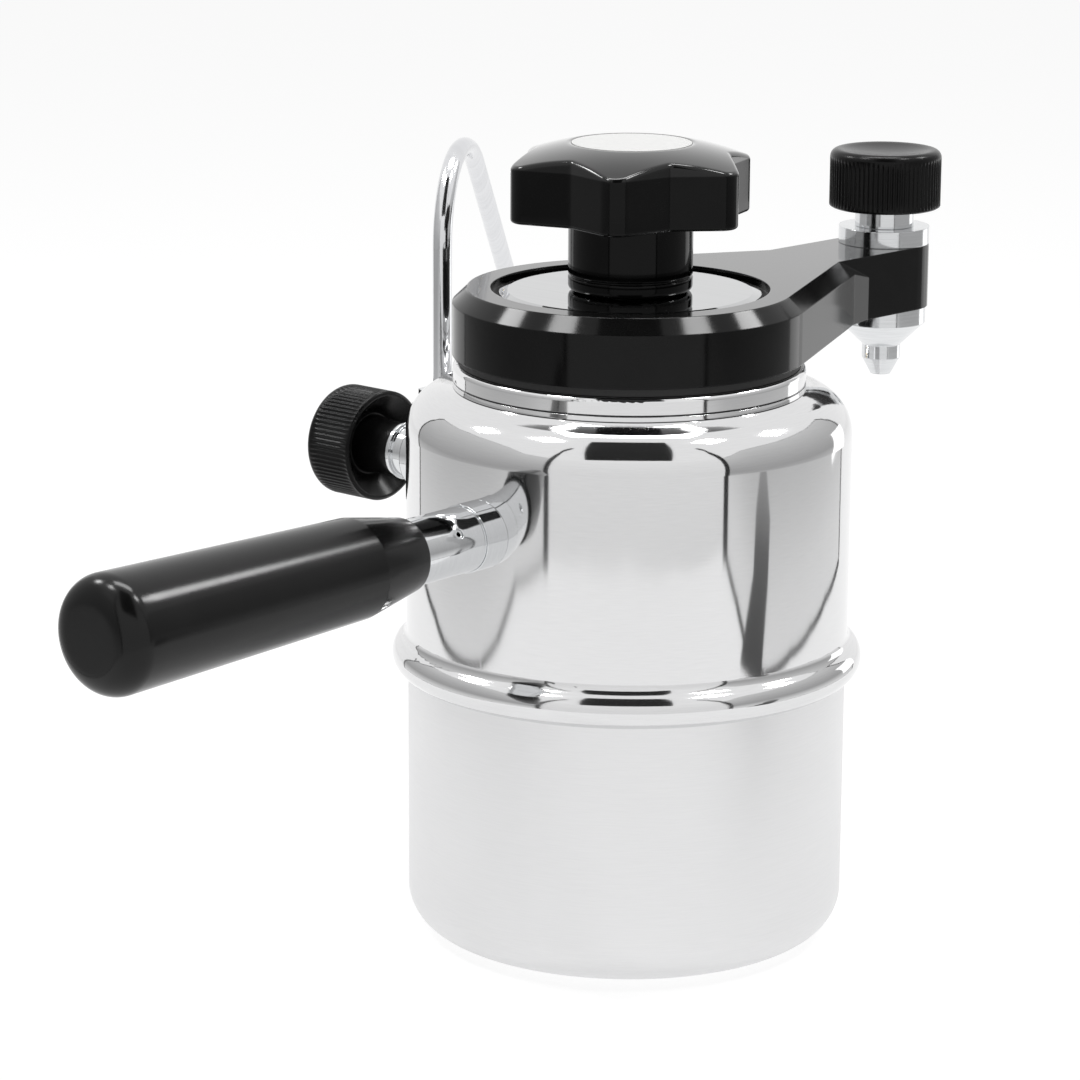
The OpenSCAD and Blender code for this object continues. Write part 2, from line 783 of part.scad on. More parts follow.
module spout_nozzle() {
    z1 = -nozzle_h;
    z2 = z1 - nozzle_cone_h;
    z3 = z2 - nozzle_low_h;
    z4 = z3 - nozzle_tip_h;
    color(chrome)
        with_head() translate([tap_x, 0, cap_z])
            rotate_extrude(convexity = 4)
                polygon([[nozzle_bore_r, 0], [nozzle_r, 0], [nozzle_r, z1], [nozzle_low_r, z2],
                    [nozzle_low_r, z3], [nozzle_tip_r, z4], [nozzle_bore_r, z4]]);
}

// Star knob

module thrust_washer() {
    color(black)
        translate([0, 0, washer_z]) tube(washer_r, stud_r + run_gap, washer_t);
}

// Plan of the star knob: round lobe tips and round valleys with straight flanks between them
module star_plan() {
    corners = [[flank_q[0], -flank_q[1]], [flank_p[0], -flank_p[1]], flank_p, flank_q];
    difference() {
        union() {
            polygon([for (i = [0 : lobes - 1])
                let (a = i * 2 * half_a)
                for (p = corners)
                    [p[0] * cos(a) - p[1] * sin(a), p[0] * sin(a) + p[1] * cos(a)]]);
            for (i = [0 : lobes - 1])
                rotate(i * 2 * half_a) translate(tip_c) circle(r = lobe_tip_r);
        }
        for (i = [0 : lobes - 1])
            rotate(i * 2 * half_a) translate(valley_c) circle(r = valley_round);
    }
}

module star_knob() {
    rim = lobe_r + 1;
    color(black)
        difference() {
            union() {
                rotate(lobe_turn)
                    translate([0, 0, lobe_z])
                        linear_extrude(height = lobe_h + crown_h) star_plan();
                rotate_extrude()
                    translate([0, foot_z]) vessel_section(hub_r, lobe_z - foot_z + 1, hub_round);
            }
            translate([0, 0, lobe_z]) rotate_extrude(convexity = 4) {
                polygon([[label_r, lobe_h + crown_h], [crown_r, lobe_h + crown_h * 0.62],
                    [lobe_r - lobe_edge, lobe_h], [rim, lobe_h - lobe_edge - 1],
                    [rim, lobe_h + crown_h + 1], [label_r, lobe_h + crown_h + 1]]);
                polygon([[lobe_r - lobe_edge, -1], [lobe_r - lobe_edge, 0], [rim, lobe_edge + 1], [rim, -1]]);
            }
            translate([0, 0, knob_top - label_t]) cylinder(r = label_r - 1 + fit_gap, h = label_t + 1);
            translate([0, 0, foot_z - 1]) cylinder(r = washer_r + pass_gap, h = hub_z - foot_z + 1);
            translate([0, 0, hub_z - 1]) cylinder(r = insert_r + fit_gap, h = bore_top - hub_z + 1);
            translate([0, 0, foot_z + 2.4 * hub_round]) difference() {
                cylinder(r = hub_r + 1, h = foot_groove_w);
                translate([0, 0, -1]) cylinder(r = hub_r - foot_groove_d, h = foot_groove_w + 2);
            }
        }
}

module knob_insert() {
    color(brass)
        translate([0, 0, hub_z]) tube(insert_r, stud_r + run_gap, bore_top - hub_z);
}

module knob_label_disc() {
    color(pale)
        translate([0, 0, knob_top - label_t]) cylinder(r = label_r - 1, h = label_t);
}

// Steam valve and wand

module steam_valve_body() {
    color(chrome)
        difference() {
            union() {
                difference() {
                    along_valve() cylinder(r = valve_body_r, h = shell_r + valve_body_l);
                    translate([0, 0, steam_z]) wall_cut(valve_body_r * 4);
                }
                along_valve() translate([0, 0, shell_in - 1])
                    cylinder(r = valve_body_r / 2, h = wall + 3);
                translate([0, wand_y, steam_z]) cylinder(r = wand_nut_w / 2, h = boss_h);
            }
            along_valve() translate([0, 0, shell_r + valve_body_l - steam_seat_depth - part_gap])
                cylinder(r = chamber_r, h = steam_seat_depth + 1);
            along_valve() translate([0, 0, shell_in - 2 * wall])
                cylinder(r = inlet_r, h = valve_body_l + 2 * wall);
            translate([0, wand_y, wand_foot_z]) cylinder(r = wand_r + fit_gap, h = boss_h);
            translate([0, wand_y, steam_z]) cylinder(r = wand_bore_r, h = boss_h);
        }
}

module steam_gland() {
    color(chrome)
        along_valve() translate([0, 0, shell_r + valve_body_l])
            rotate_extrude(convexity = 4)
                polygon([[spindle_r + run_gap, 0], [steam_gland_r, 0],
                    [steam_gland_r, steam_gland_h - collar_l],
                    [steam_gland_r + collar_h, steam_gland_h - collar_l],
                    [steam_gland_r + collar_h, steam_gland_h], [spindle_r + run_gap, steam_gland_h]]);
}

module steam_seat_disc() {
    along_valve() translate([0, 0, shell_r + valve_body_l]) valve_seat(steam_seat_depth);
}

module steam_spindle() {
    along_valve() translate([0, 0, shell_r + valve_body_l]) valve_spindle(steam_seat_depth, steam_knob_z);
}

module steam_knob() {
    along_valve() translate([0, 0, shell_r + valve_body_l + steam_knob_z]) valve_knob(steam_boss_l);
}

// Move to the wand's plane: +X along its plan direction, +Z up, origin at its rising leg
module in_wand_plane() {
    translate([0, wand_y, 0]) rotate(wand_turn) children();
}

// Move on to the bend's own frame: its centre, with the falling leg's end of the arc on +X
module in_bend() {
    in_wand_plane()
        translate([wand_bend_r, 0, wand_bend_z])
            rotate([90, 0, 0])
                rotate(wand_slant) children();
}

// The wand's tube: rising leg, bend and falling leg meet end to end
module steam_wand() {
    color(steel) {
        in_wand_plane()
            translate([0, 0, wand_foot_z + fit_gap])
                tube(wand_r, wand_bore_r, wand_bend_z - wand_foot_z - fit_gap);
        in_bend() {
            rotate_extrude(angle = 180 - wand_slant)
                translate([wand_bend_r, 0])
                    difference() {
                        circle(r = wand_r);
                        circle(r = wand_bore_r);
                    }
            translate([wand_bend_r, 0, 0]) rotate([90, 0, 0]) tube(wand_r, wand_bore_r, wand_leg);
        }
    }
}

module wand_nut() {
    color(chrome)
        translate([0, wand_y, steam_z + boss_h])
            difference() {
                cylinder(d = wand_nut_w / cos(30), h = wand_nut_h, $fn = 6);
                translate([0, 0, -1]) cylinder(r = wand_r + fit_gap, h = wand_nut_h + 2);
            }
}

module wand_tip() {
    color(chrome)
        in_bend()
            translate([wand_bend_r, 0, 0])
                rotate([90, 0, 0])
                    translate([0, 0, wand_leg])
                        rotate_extrude(convexity = 4)
                            polygon([[0.8, 0], [wand_tip_r, 0], [wand_tip_r, wand_tip_l * 0.6],
                                [wand_tip_r * 0.55, wand_tip_l], [0.8, wand_tip_l]]);
}

// Handle

module handle_base_ring() {
    color(chrome)
        difference() {
            along_handle() rotate_extrude(convexity = 4)
                difference() {
                    translate([rod_r + fit_gap, shell_r - 2])
                        square([base_ring_r - rod_r - fit_gap, base_ring_l + 2]);
                    translate([base_ring_r - 0.5, ring_end - 0.5]) square([1, 1]);
                }
            translate([0, 0, handle_z]) wall_cut(base_ring_r * 4);
        }
}

module handle_rod() {
    color(chrome)
        difference() {
            along_handle() cylinder(r = rod_r, h = ferrule_end + rod_in);
            translate([0, 0, handle_z]) wall_cut(base_ring_r * 4);
            at_pin() cylinder(r = pin_r + fit_gap, h = ferrule_r * 1.2);
        }
}

module handle_ferrule() {
    color(chrome)
        difference() {
            along_handle() translate([0, 0, ring_end]) tube(ferrule_r, rod_r + fit_gap, ferrule_l);
            at_pin() cylinder(r = pin_r + fit_gap, h = ferrule_r * 1.2);
        }
}

// Move to the cross pin: from the handle's axis outwards, tilted up on the side away from the steam valve
module at_pin() {
    along_handle() translate([0, 0, pin_at])
        rotate([0, 0, pin_tilt]) rotate([90, 0, 0]) children();
}

module handle_pin() {
    color(steel) at_pin() tube(pin_r, pin_bore_r, ferrule_r - pin_sink);
}

module handle_grip() {
    color(black)
        along_handle() translate([0, 0, ferrule_end])
            rotate_extrude(convexity = 4)
                difference() {
                    union() {
                        polygon([[0, 0], [grip_neck_r - 0.8, 0], [grip_neck_r, 0.8], [grip_r, grip_cone_l],
                            [grip_end_r, grip_l - grip_round], [0, grip_l - grip_round]]);
                        translate([0, grip_l - grip_round * 2])
                            square([grip_end_r - grip_round, grip_round * 2]);
                        translate([grip_end_r - grip_round, grip_l - grip_round]) circle(r = grip_round);
                    }
                    translate([-1, -1]) square([rod_r + fit_gap + 1, rod_in + 1]);
                    translate([-grip_end_r, 0]) square([grip_end_r, grip_l + 1]);
                }
}

// Safety valve

module safety_body() {
    color(chrome)
        difference() {
            union() {
                difference() {
                    along_safety() translate([0, 0, -3]) cylinder(r = safety_r, h = safety_l + 3);
                    translate([0, 0, safety_z]) wall_cut(safety_r * 4);
                }
                along_safety() translate([0, 0, -wall - 1]) cylinder(r = safety_bore_r, h = wall + 2);
            }
            along_safety() {
                translate([0, 0, poppet_at - part_gap]) cylinder(r = safety_bore_r, h = safety_l);
                translate([0, 0, -4 * wall]) cylinder(r = safety_stem_r, h = 4 * wall + poppet_at);
            }
        }
}

module safety_cap() {
    color(chrome)
        along_safety() translate([0, 0, safety_l]) tube(safety_r, safety_stem_r + run_gap, safety_cap_t);
}

module safety_stem() {
    stem_top = safety_l + safety_cap_t + 2 * safety_lift;
    color(brass)
        along_safety() {
            translate([0, 0, poppet_at]) cylinder(r = poppet_r, h = poppet_t);
            translate([0, 0, poppet_at]) cylinder(r = safety_stem_r, h = stem_top - poppet_at);
            translate([0, 0, stem_top - 1]) cylinder(r = safety_stem_r + 0.8, h = 2);
        }
}

// Points of the spring's tube: rings of six along the coil, eight rings a turn
spring_rings = spring_turns * 8;
function coil_at(u) = [spring_r * cos(360 * u), spring_r * sin(360 * u), spring_from + spring_pitch * u];
function coil_dir(u) =
    let (v = [-spring_r * 2 * PI * sin(360 * u), spring_r * 2 * PI * cos(360 * u), spring_pitch]) v / norm(v);
function coil_ring(u) =
    let (c = coil_at(u), n = [cos(360 * u), sin(360 * u), 0], b = cross(coil_dir(u), n))
    [for (k = [0 : 5]) c + wire_r * (cos(60 * k) * n + sin(60 * k) * b)];
spring_gap = min([for (i = [0 : 8]) for (j = [-2 : 2])
    norm(coil_at(1 + i / 8) - coil_at(2 + (i + j) / 8))]) - 2 * wire_r;
echo(spring_gap = spring_gap);

module safety_spring() {
    points = [for (i = [0 : spring_rings]) each coil_ring(i / 8)];
    last = 6 * spring_rings;
    faces = concat(
        [[0, 1, 2], [0, 2, 3], [0, 3, 4], [0, 4, 5]],
        [for (k = [1 : 4]) [last, last + k + 1, last + k]],
        [for (i = [0 : spring_rings - 1]) for (k = [0 : 5]) let (n = (k + 1) % 6)
            each [[6 * i + k, 6 * i + 6 + k, 6 * i + n], [6 * i + n, 6 * i + 6 + k, 6 * i + 6 + n]]]);
    color(steel) along_safety() polyhedron(points = points, faces = faces);
}

lower_cup();
upper_shell();
neck_ring();
handle_base_ring();
handle_rod();
handle_ferrule();
handle_pin();
handle_grip();
steam_valve_body();
steam_gland();
steam_seat_disc();
steam_spindle();
steam_knob();
steam_wand();
wand_nut();
wand_tip();
safety_body();
safety_cap();
safety_stem();
safety_spring();
brew_funnel();
clamp_stud();
filter_basket();
head_gasket();
cap_arm();
cap_disc();
upper_screen();
tap_bonnet();
tap_gland();
spout_nozzle();
tap_seat_disc();
tap_spindle();
tap_knob();
thrust_washer();
star_knob();
knob_insert();
knob_label_disc();
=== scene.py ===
"""Looks of a stovetop espresso maker with a coffee tap and a steam wand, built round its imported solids."""

import logging
import math
from abc import ABC, abstractmethod
from dataclasses import dataclass, field
from enum import Enum
from typing import Any, ClassVar, Sequence

import bpy
import numpy as np
from mathutils import Matrix
from numpy.typing import NDArray


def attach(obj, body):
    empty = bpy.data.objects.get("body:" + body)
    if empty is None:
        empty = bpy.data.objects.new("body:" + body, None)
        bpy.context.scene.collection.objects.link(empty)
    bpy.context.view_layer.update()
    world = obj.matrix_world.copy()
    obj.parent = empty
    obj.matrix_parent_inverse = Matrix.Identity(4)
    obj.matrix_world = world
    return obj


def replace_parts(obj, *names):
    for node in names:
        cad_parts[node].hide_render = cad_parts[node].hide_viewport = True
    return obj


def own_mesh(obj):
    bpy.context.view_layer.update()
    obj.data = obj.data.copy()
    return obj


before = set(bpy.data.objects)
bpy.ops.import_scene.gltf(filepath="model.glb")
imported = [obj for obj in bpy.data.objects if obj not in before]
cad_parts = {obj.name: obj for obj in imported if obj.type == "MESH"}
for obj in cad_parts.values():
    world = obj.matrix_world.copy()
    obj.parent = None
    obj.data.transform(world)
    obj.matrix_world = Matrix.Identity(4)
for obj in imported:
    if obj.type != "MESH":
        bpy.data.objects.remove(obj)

Array = NDArray[np.float64]
Socket = bpy.types.NodeSocket
Node = bpy.types.Node
Material = bpy.types.Material
Object = bpy.types.Object
Colour = tuple[float, float, float]
Spot = tuple[float, float, float]
Flat = tuple[float, float]
MM = 0.001
WHITE: Colour = (1.0, 1.0, 1.0)
BLACK: Colour = (0.0, 0.0, 0.0)
NOISE_MIDDLE = (0.25, 0.75)
TINT_STOPS = (0.3, 0.7)
MIX_A, MIX_B, MIX_OUT = 6, 7, 2
NEARLY_STRAIGHT = 1.56
LOG = logging.getLogger("espresso_maker")


class Body(Enum):
    """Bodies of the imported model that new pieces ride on."""

    BASE = "base"
    STEAM_TAP = "steam_tap"
    COFFEE_TAP = "coffee_tap"
    CLAMP_KNOB = "clamp_knob"


class Slot(Enum):
    """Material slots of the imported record."""

    POLISHED = "polished_steel"
    SATIN = "satin_steel"
    CHROME = "chrome_fittings"
    PHENOLIC = "black_phenolic"
    COATED = "black_coated_metal"
    RUBBER = "black_rubber"
    BRASS = "brass_fittings"
    INLAY = "pale_inlay"


class Grain(Enum):
    """Axis along which the tool marks of a finish change quickest."""

    X = (1.0, 0.03, 0.03)
    Y = (0.03, 1.0, 0.03)
    Z = (0.03, 0.03, 1.0)


@dataclass
class NodeGraph:
    """Node tree of one material, with the calls that fill it."""

    tree: bpy.types.NodeTree

    def add(self, kind: str, **settings: Any) -> Node:
        """Add a node and set its plain properties.

        Args:
            kind: Blender's name of the node type.
            settings: properties of the node and their values.

        Returns:
            The new node.
        """
        node = self.tree.nodes.new(kind)
        for key, value in settings.items():
            setattr(node, key, value)
        return node

    def put(self, node: Node, socket: str | int, value: Any) -> None:
        """Give an input a value, or link it where the value is an output socket.

        Args:
            node: the node.
            socket: the input's name or number.
            value: the value, or the output socket to link.
        """
        if isinstance(value, bpy.types.NodeSocket):
            self.tree.links.new(value, node.inputs[socket])
        else:
            node.inputs[socket].default_value = value

    def wire(self, kind: str, inputs: dict[str | int, Any], output: str | int, **settings: Any) -> Socket:
        """Add a node, fill its inputs and hand back one of its outputs.

        Args:
            kind: Blender's name of the node type.
            inputs: values or output sockets by the input's name or number.
            output: name or number of the output that is wanted.
            settings: properties of the node and their values.

        Returns:
            The output socket.
        """
        node = self.add(kind, **settings)
        for socket, value in inputs.items():
            self.put(node, socket, value)
        return node.outputs[output]

    def coords(self) -> Socket:
        """Object coordinates."""
        return self.add("ShaderNodeTexCoord").outputs["Object"]

    def place(self, scale: Sequence[float]) -> Socket:
        """Object coordinates stretched by a scale on each axis."""
        return self.wire("ShaderNodeMapping", {"Vector": self.coords(), "Scale": tuple(scale)}, "Vector")

    def math(self, operation: str, first: Any, second: Any) -> Socket:
        """Result of a sum or the like of two values."""
        return self.wire("ShaderNodeMath", {0: first, 1: second}, "Value", operation=operation)

    def carried(self, value: Socket, start: float, stop: float, low: float = 0.0, high: float = 1.0) -> Socket:
        """Value carried from start and stop to low and high, and held beyond them."""
        ends = {"From Min": start, "From Max": stop, "To Min": low, "To Max": high}
        return self.wire("ShaderNodeMapRange", {"Value": value, **ends}, "Result")

    def height(self, low: float, high: float) -> Socket:
        """Object height carried from 0 at low to 1 at high, both in metres."""
        return self.carried(self.wire("ShaderNodeSeparateXYZ", {"Vector": self.coords()}, "Z"), low, high)

    def reach(self, low: float, high: float) -> Socket:
        """Square of the way from a radius, low, where it is 0, to another, high, where it is 1, in metres."""
        span = self.wire("ShaderNodeVectorMath", {"Vector": self.place((1.0, 1.0, 0.0))}, "Value", operation="LENGTH")
        return self.math("POWER", self.carried(span, low, high), 2.0)

    def noise(self, place: Socket, detail: float = 3.0, rough: float = 0.55) -> Socket:
        """Noise value at a place, from 0 to 1."""
        inputs = {"Vector": place, "Scale": 1.0, "Detail": detail, "Roughness": rough}
        return self.wire("ShaderNodeTexNoise", inputs, "Fac")

    def spread(self, value: Socket, low: float, high: float) -> Socket:
        """Value from the middle of a noise's range carried to low and high."""
        return self.carried(value, *NOISE_MIDDLE, low, high)

    def ramp(self, value: Socket, stops: Sequence[tuple[float, Colour]], steps: bool = False) -> Socket:
        """Colour by a value, over two or more stops.

        Args:
            value: place on the ramp, from 0 to 1.
            stops: place and colour of each stop, from low to high.
            steps: whether a colour holds up to the next stop.

        Returns:
            The colour.
        """
        node = self.add("ShaderNodeValToRGB")
        node.color_ramp.interpolation = "CONSTANT" if steps else "LINEAR"
        elements = node.color_ramp.elements
        for position, _ in stops[1:-1]:
            elements.new(position)
        for element, (position, colour) in zip(elements, stops):
            element.position = position
            element.color = (*colour, 1.0)
        self.put(node, "Fac", value)
        return node.outputs["Color"]

    def tint(self, value: Socket, dark: Colour, light: Colour) -> Socket:
        """Colour between two tints by a noise value."""
        return self.ramp(value, list(zip(TINT_STOPS, (dark, light))))

    def bump(self, height: Socket, strength: float, depth: float, normal: Socket | None = None) -> Socket:
        """Normal of a relief of that depth in metres, on top of another normal."""
        inputs = {"Height": height, "Strength": strength, "Distance": depth}
        return self.wire("ShaderNodeBump", inputs if normal is None else {**inputs, "Normal": normal}, "Normal")

    def eased_edge(self, radius: float) -> Socket:
        """Normal that eases sharp edges to a radius in metres."""
        return self.wire("ShaderNodeBevel", {"Radius": radius}, "Normal", samples=6)

    def seen(self) -> Socket:
        """1 for camera, glossy and transmission rays, and 0 for the rest."""
        path = self.add("ShaderNodeLightPath").outputs
        return self.math(
            "MAXIMUM", self.math("MAXIMUM", path["Is Camera Ray"], path["Is Glossy Ray"]), path["Is Transmission Ray"])


@dataclass(frozen=True)
class Finish(ABC):
    """A finish that makes one procedural material."""

    name: str
    slot: Slot

    def material(self) -> Material:
        """Make the material, or hand back the one that is there.

        Returns:
            The finish's material.
        """
        found = bpy.data.materials.get(self.name)
        if found is not None:
            return found
        made = bpy.data.materials.new(self.name)
        made.use_nodes = True
        graph = NodeGraph(made.node_tree)
        self.fill(graph, made.node_tree.nodes["Principled BSDF"])
        return made

    @abstractmethod
    def fill(self, graph: NodeGraph, shader: Node) -> None:
        """Set the shader's sockets from the finish's values.

        Args:
            graph: the material's nodes.
            shader: the shader to fill.
        """


@dataclass(frozen=True)
class TurnedMetal(Finish):
    """Bare metal with fine tool marks that run across one axis; lengths in metres, scales per metre."""

    dark: Colour
    light: Colour
    smooth: float
    dull: float
    grain: Grain
    lines: float = 4200.0
    relief: float = 1.2e-6
    edge: float = 3e-4
    cloud: float = 38.0

    def fill(self, graph: NodeGraph, shader: Node) -> None:
        """Tool marks vary the colour and the relief along the grain's axis, and a cloud the roughness."""
        marks = graph.noise(graph.place([self.lines * g for g in self.grain.value]), 4.0, 0.65)
        cloud = graph.noise(graph.place((self.cloud,) * 3), 2.0)
        graph.put(shader, "Metallic", 1.0)
        graph.put(shader, "Base Color", graph.tint(marks, self.dark, self.light))
        graph.put(shader, "Roughness", graph.spread(cloud, self.smooth, self.dull))
        graph.put(shader, "Normal", graph.bump(marks, 0.5, self.relief, graph.eased_edge(self.edge)))


@dataclass(frozen=True)
class ShoulderMetal(TurnedMetal):
    """Turned metal whose shoulder rolls down from the neck's foot, between two radii in metres."""

    foot_r: float = 0.0398
    end_r: float = 0.0450
    drop: float = 0.0023

    def fill(self, graph: NodeGraph, shader: Node) -> None:
        """The roll is a relief that falls with the distance from the axis."""
        super().fill(graph, shader)
        roll = graph.reach(self.end_r, self.foot_r)
        normal = shader.inputs["Normal"].links[0].from_socket
        graph.put(shader, "Normal", graph.bump(roll, 1.0, self.drop, normal))


@dataclass(frozen=True)
class GroovedMetal(TurnedMetal):
    """Turned metal with painted shade darkening its groove and along its foot, at heights in metres."""

    foot: float = 0.1263
    foot_end: float = 0.12655
    groove: float = 0.1276
    groove_end: float = 0.1280
    # painted shade: dark tints that stand in for the shade at the foot crease and in the groove
    foot_painted_shade: Colour = (0.10, 0.10, 0.10)
    groove_painted_shade: Colour = (0.05, 0.05, 0.05)

    def fill(self, graph: NodeGraph, shader: Node) -> None:
        """Painted shade darkens the colour where the height lies in the groove or at the foot crease."""
        super().fill(graph, shader)
        span = self.groove_end - self.foot
        # painted shade: a stepped ramp darkens the colour in the groove and along the foot crease, where shade falls
        painted_shade = graph.ramp(graph.height(self.foot, self.groove_end), [
            (0.0, self.foot_painted_shade), ((self.foot_end - self.foot) / span, WHITE),
            ((self.groove - self.foot) / span, self.groove_painted_shade), (1.0, WHITE)], steps=True)
        unshaded_colour = shader.inputs["Base Color"].links[0].from_socket
        inputs = {"Factor": 1.0, MIX_A: unshaded_colour, MIX_B: painted_shade}
        mixed = graph.wire("ShaderNodeMix", inputs, MIX_OUT, data_type="RGBA", blend_type="MULTIPLY")
        graph.put(shader, "Base Color", mixed)


@dataclass(frozen=True)
class MouldedBlack(Finish):
    """Black moulded or coated surface with a faint orange peel and handling haze; scales per metre."""

    dark: Colour
    light: Colour
    smooth: float
    dull: float
    shine: float
    peel: float = 420.0
    relief: float = 6e-6
    edge: float = 4e-4
    haze: float = 55.0
    grit: float = 2400.0

    def fill(self, graph: NodeGraph, shader: Node) -> None:
        """Cloudy haze varies the colour and roughness, and the peel gives the relief."""
        haze = graph.noise(graph.place((self.haze,) * 3), 4.0)
        grit = graph.noise(graph.place((self.grit,) * 3), 2.0)
        peel = graph.noise(graph.place((self.peel,) * 3), 2.0)
        graph.put(shader, "Base Color", graph.tint(haze, self.dark, self.light))
        graph.put(shader, "Roughness", graph.spread(haze, self.smooth, self.dull))
        graph.put(shader, "Specular IOR Level", self.shine)
        normal = graph.bump(peel, 0.4, self.relief, graph.eased_edge(self.edge))
        graph.put(shader, "Normal", graph.bump(grit, 0.15, self.relief * 0.3, normal))


@dataclass(frozen=True)
class LappedBlack(MouldedBlack):
    """Black surface whose top, above a height in metres, was lapped bright."""

    top: float = 0.1484
    rise: float = 3e-4
    coat: float = 1.5

    def fill(self, graph: NodeGraph, shader: Node) -> None:
        """A clear coat lies on the top alone."""
        super().fill(graph, shader)
        graph.put(shader, "Coat Weight", graph.height(self.top, self.top + self.rise))
        graph.put(shader, "Coat IOR", self.coat)
        graph.put(shader, "Coat Roughness", self.smooth)


@dataclass(frozen=True)
class PlainMatt(Finish):
    """Matt rubber or inlay with a fine speckle; the relief in metres, the speckle's scale per metre."""

    dark: Colour
    light: Colour
    rough: float
    speckle: float = 900.0
    uneven: float = 0.08
    relief: float = 2e-5

    def fill(self, graph: NodeGraph, shader: Node) -> None:
        """Speckle varies the colour, the roughness and a shallow relief."""
        speckle = graph.noise(graph.place((self.speckle,) * 3), 3.0)
        graph.put(shader, "Base Color", graph.tint(speckle, self.dark, self.light))
        graph.put(shader, "Roughness", graph.spread(speckle, self.rough - self.uneven, self.rough + self.uneven))
        graph.put(shader, "Normal", graph.bump(speckle, 0.3, self.relief))


def grey(level: float) -> Colour:
    """Grey of one level."""
    return (level, level, level)


WALL_STEEL = ShoulderMetal(
    "polished_wall_steel", Slot.POLISHED, (0.71, 0.71, 0.715), (0.75, 0.75, 0.755),
    smooth=0.04, dull=0.09, grain=Grain.Z, lines=8000.0, relief=8e-7)
# neck ring steel, with painted shade in its groove and along its foot
NECK_STEEL = GroovedMetal(
    "turned_neck_steel", Slot.POLISHED, (0.74, 0.74, 0.745), (0.78, 0.78, 0.785),
    smooth=0.05, dull=0.10, grain=Grain.Z, lines=6000.0, relief=8e-7, edge=2e-4)
CUP_STEEL = TurnedMetal(
    "satin_cup_steel", Slot.SATIN, (0.75, 0.75, 0.755), (0.78, 0.78, 0.785),
    smooth=0.33, dull=0.38, grain=Grain.Z, lines=5000.0)
TUBE_STEEL = TurnedMetal(
    "drawn_tube_steel", Slot.POLISHED, (0.66, 0.665, 0.68), (0.74, 0.745, 0.76),
    smooth=0.06, dull=0.14, grain=Grain.X, lines=900.0)
DISC_STEEL = TurnedMetal(
    "mirror_disc_steel", Slot.POLISHED, (0.47, 0.475, 0.48), (0.51, 0.515, 0.52),
    smooth=0.03, dull=0.07, grain=Grain.X, lines=600.0)
HANDLE_CHROME = TurnedMetal(
    "handle_chrome", Slot.CHROME, (0.68, 0.69, 0.70), (0.74, 0.75, 0.76), smooth=0.03, dull=0.08, grain=Grain.X)
STEAM_CHROME = TurnedMetal(
    "steam_valve_chrome", Slot.CHROME, (0.68, 0.69, 0.70), (0.74, 0.75, 0.76), smooth=0.06, dull=0.12, grain=Grain.Y)
TAP_CHROME = TurnedMetal(
    "coffee_tap_chrome", Slot.CHROME, (0.66, 0.67, 0.68), (0.74, 0.75, 0.76),
    smooth=0.08, dull=0.16, grain=Grain.Z, lines=3000.0, relief=2e-6)
BRASS = TurnedMetal(
    "plain_brass", Slot.BRASS, (0.66, 0.47, 0.20), (0.76, 0.57, 0.28), smooth=0.18, dull=0.30, grain=Grain.Z)
GRIP_BLACK = MouldedBlack("grip_phenolic", Slot.PHENOLIC, grey(0.004), grey(0.008), smooth=0.14, dull=0.22, shine=0.26)
KNOB_BLACK = LappedBlack(
    "star_knob_phenolic", Slot.PHENOLIC, grey(0.002), grey(0.005),
    smooth=0.07, dull=0.12, shine=0.14, top=0.1768, coat=1.3)
WASHER_BLACK = MouldedBlack(
    "washer_phenolic", Slot.PHENOLIC, grey(0.004), grey(0.008), smooth=0.25, dull=0.35, shine=0.20)
VALVE_BLACK = MouldedBlack(
    "valve_knob_phenolic", Slot.PHENOLIC, grey(0.003), grey(0.006), smooth=0.18, dull=0.28, shine=0.16)
CAP_BLACK = LappedBlack(
    "cap_coating", Slot.COATED, grey(0.003), grey(0.007),
    smooth=0.08, dull=0.13, shine=0.18, peel=900.0, relief=5e-6, coat=1.08)
RUBBER = PlainMatt("gasket_rubber", Slot.RUBBER, grey(0.010), grey(0.022), rough=0.62)
INLAY = PlainMatt("bare_inlay", Slot.INLAY, (0.80, 0.80, 0.79), (0.86, 0.86, 0.85), rough=0.42)


def dress(nodes: Sequence[str], finish: Finish) -> None:
    """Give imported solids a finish.

    Args:
        nodes: names of the solids.
        finish: the finish for all of them.
    """
    for name in nodes:
        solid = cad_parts[name]
        if not solid.material_slots:
            solid.data.materials.append(finish.material())
        for place in solid.material_slots:
            place.material = finish.material()
        LOG.info("solid %s dressed in %s", name, finish.name)


@dataclass(frozen=True)
class Seat:
    """Where a piece's own axes lie in the part's frame; lengths in millimetres."""

    origin: Spot = (0.0, 0.0, 0.0)
    x: Spot = (1.0, 0.0, 0.0)
    y: Spot = (0.0, 1.0, 0.0)
    z: Spot = (0.0, 0.0, 1.0)

    def carry(self, points: Array) -> Array:
        """Points of the piece's own axes in the part's frame: origin plus each coordinate along its axis."""
        return np.asarray(self.origin) + points @ np.array([self.x, self.y, self.z])


def linked(name: str, data: bpy.types.ID) -> Object:
    """New object in the scene, at the origin, with its mesh, lamp or camera."""
    bpy.context.scene.collection.objects.link(made := bpy.data.objects.new(name, data))
    return made


def posed(columns: Sequence[Sequence[float]]) -> Matrix:
    """Matrix whose columns are the X, Y and Z axes and the place."""
    return Matrix([*np.array(columns, float).T.tolist(), [0.0, 0.0, 0.0, 1.0]])


def turn_angles(count: int) -> Array:
    """Angles of a full turn, in radians, without the last."""
    return np.linspace(0.0, 2.0 * np.pi, count, endpoint=False)


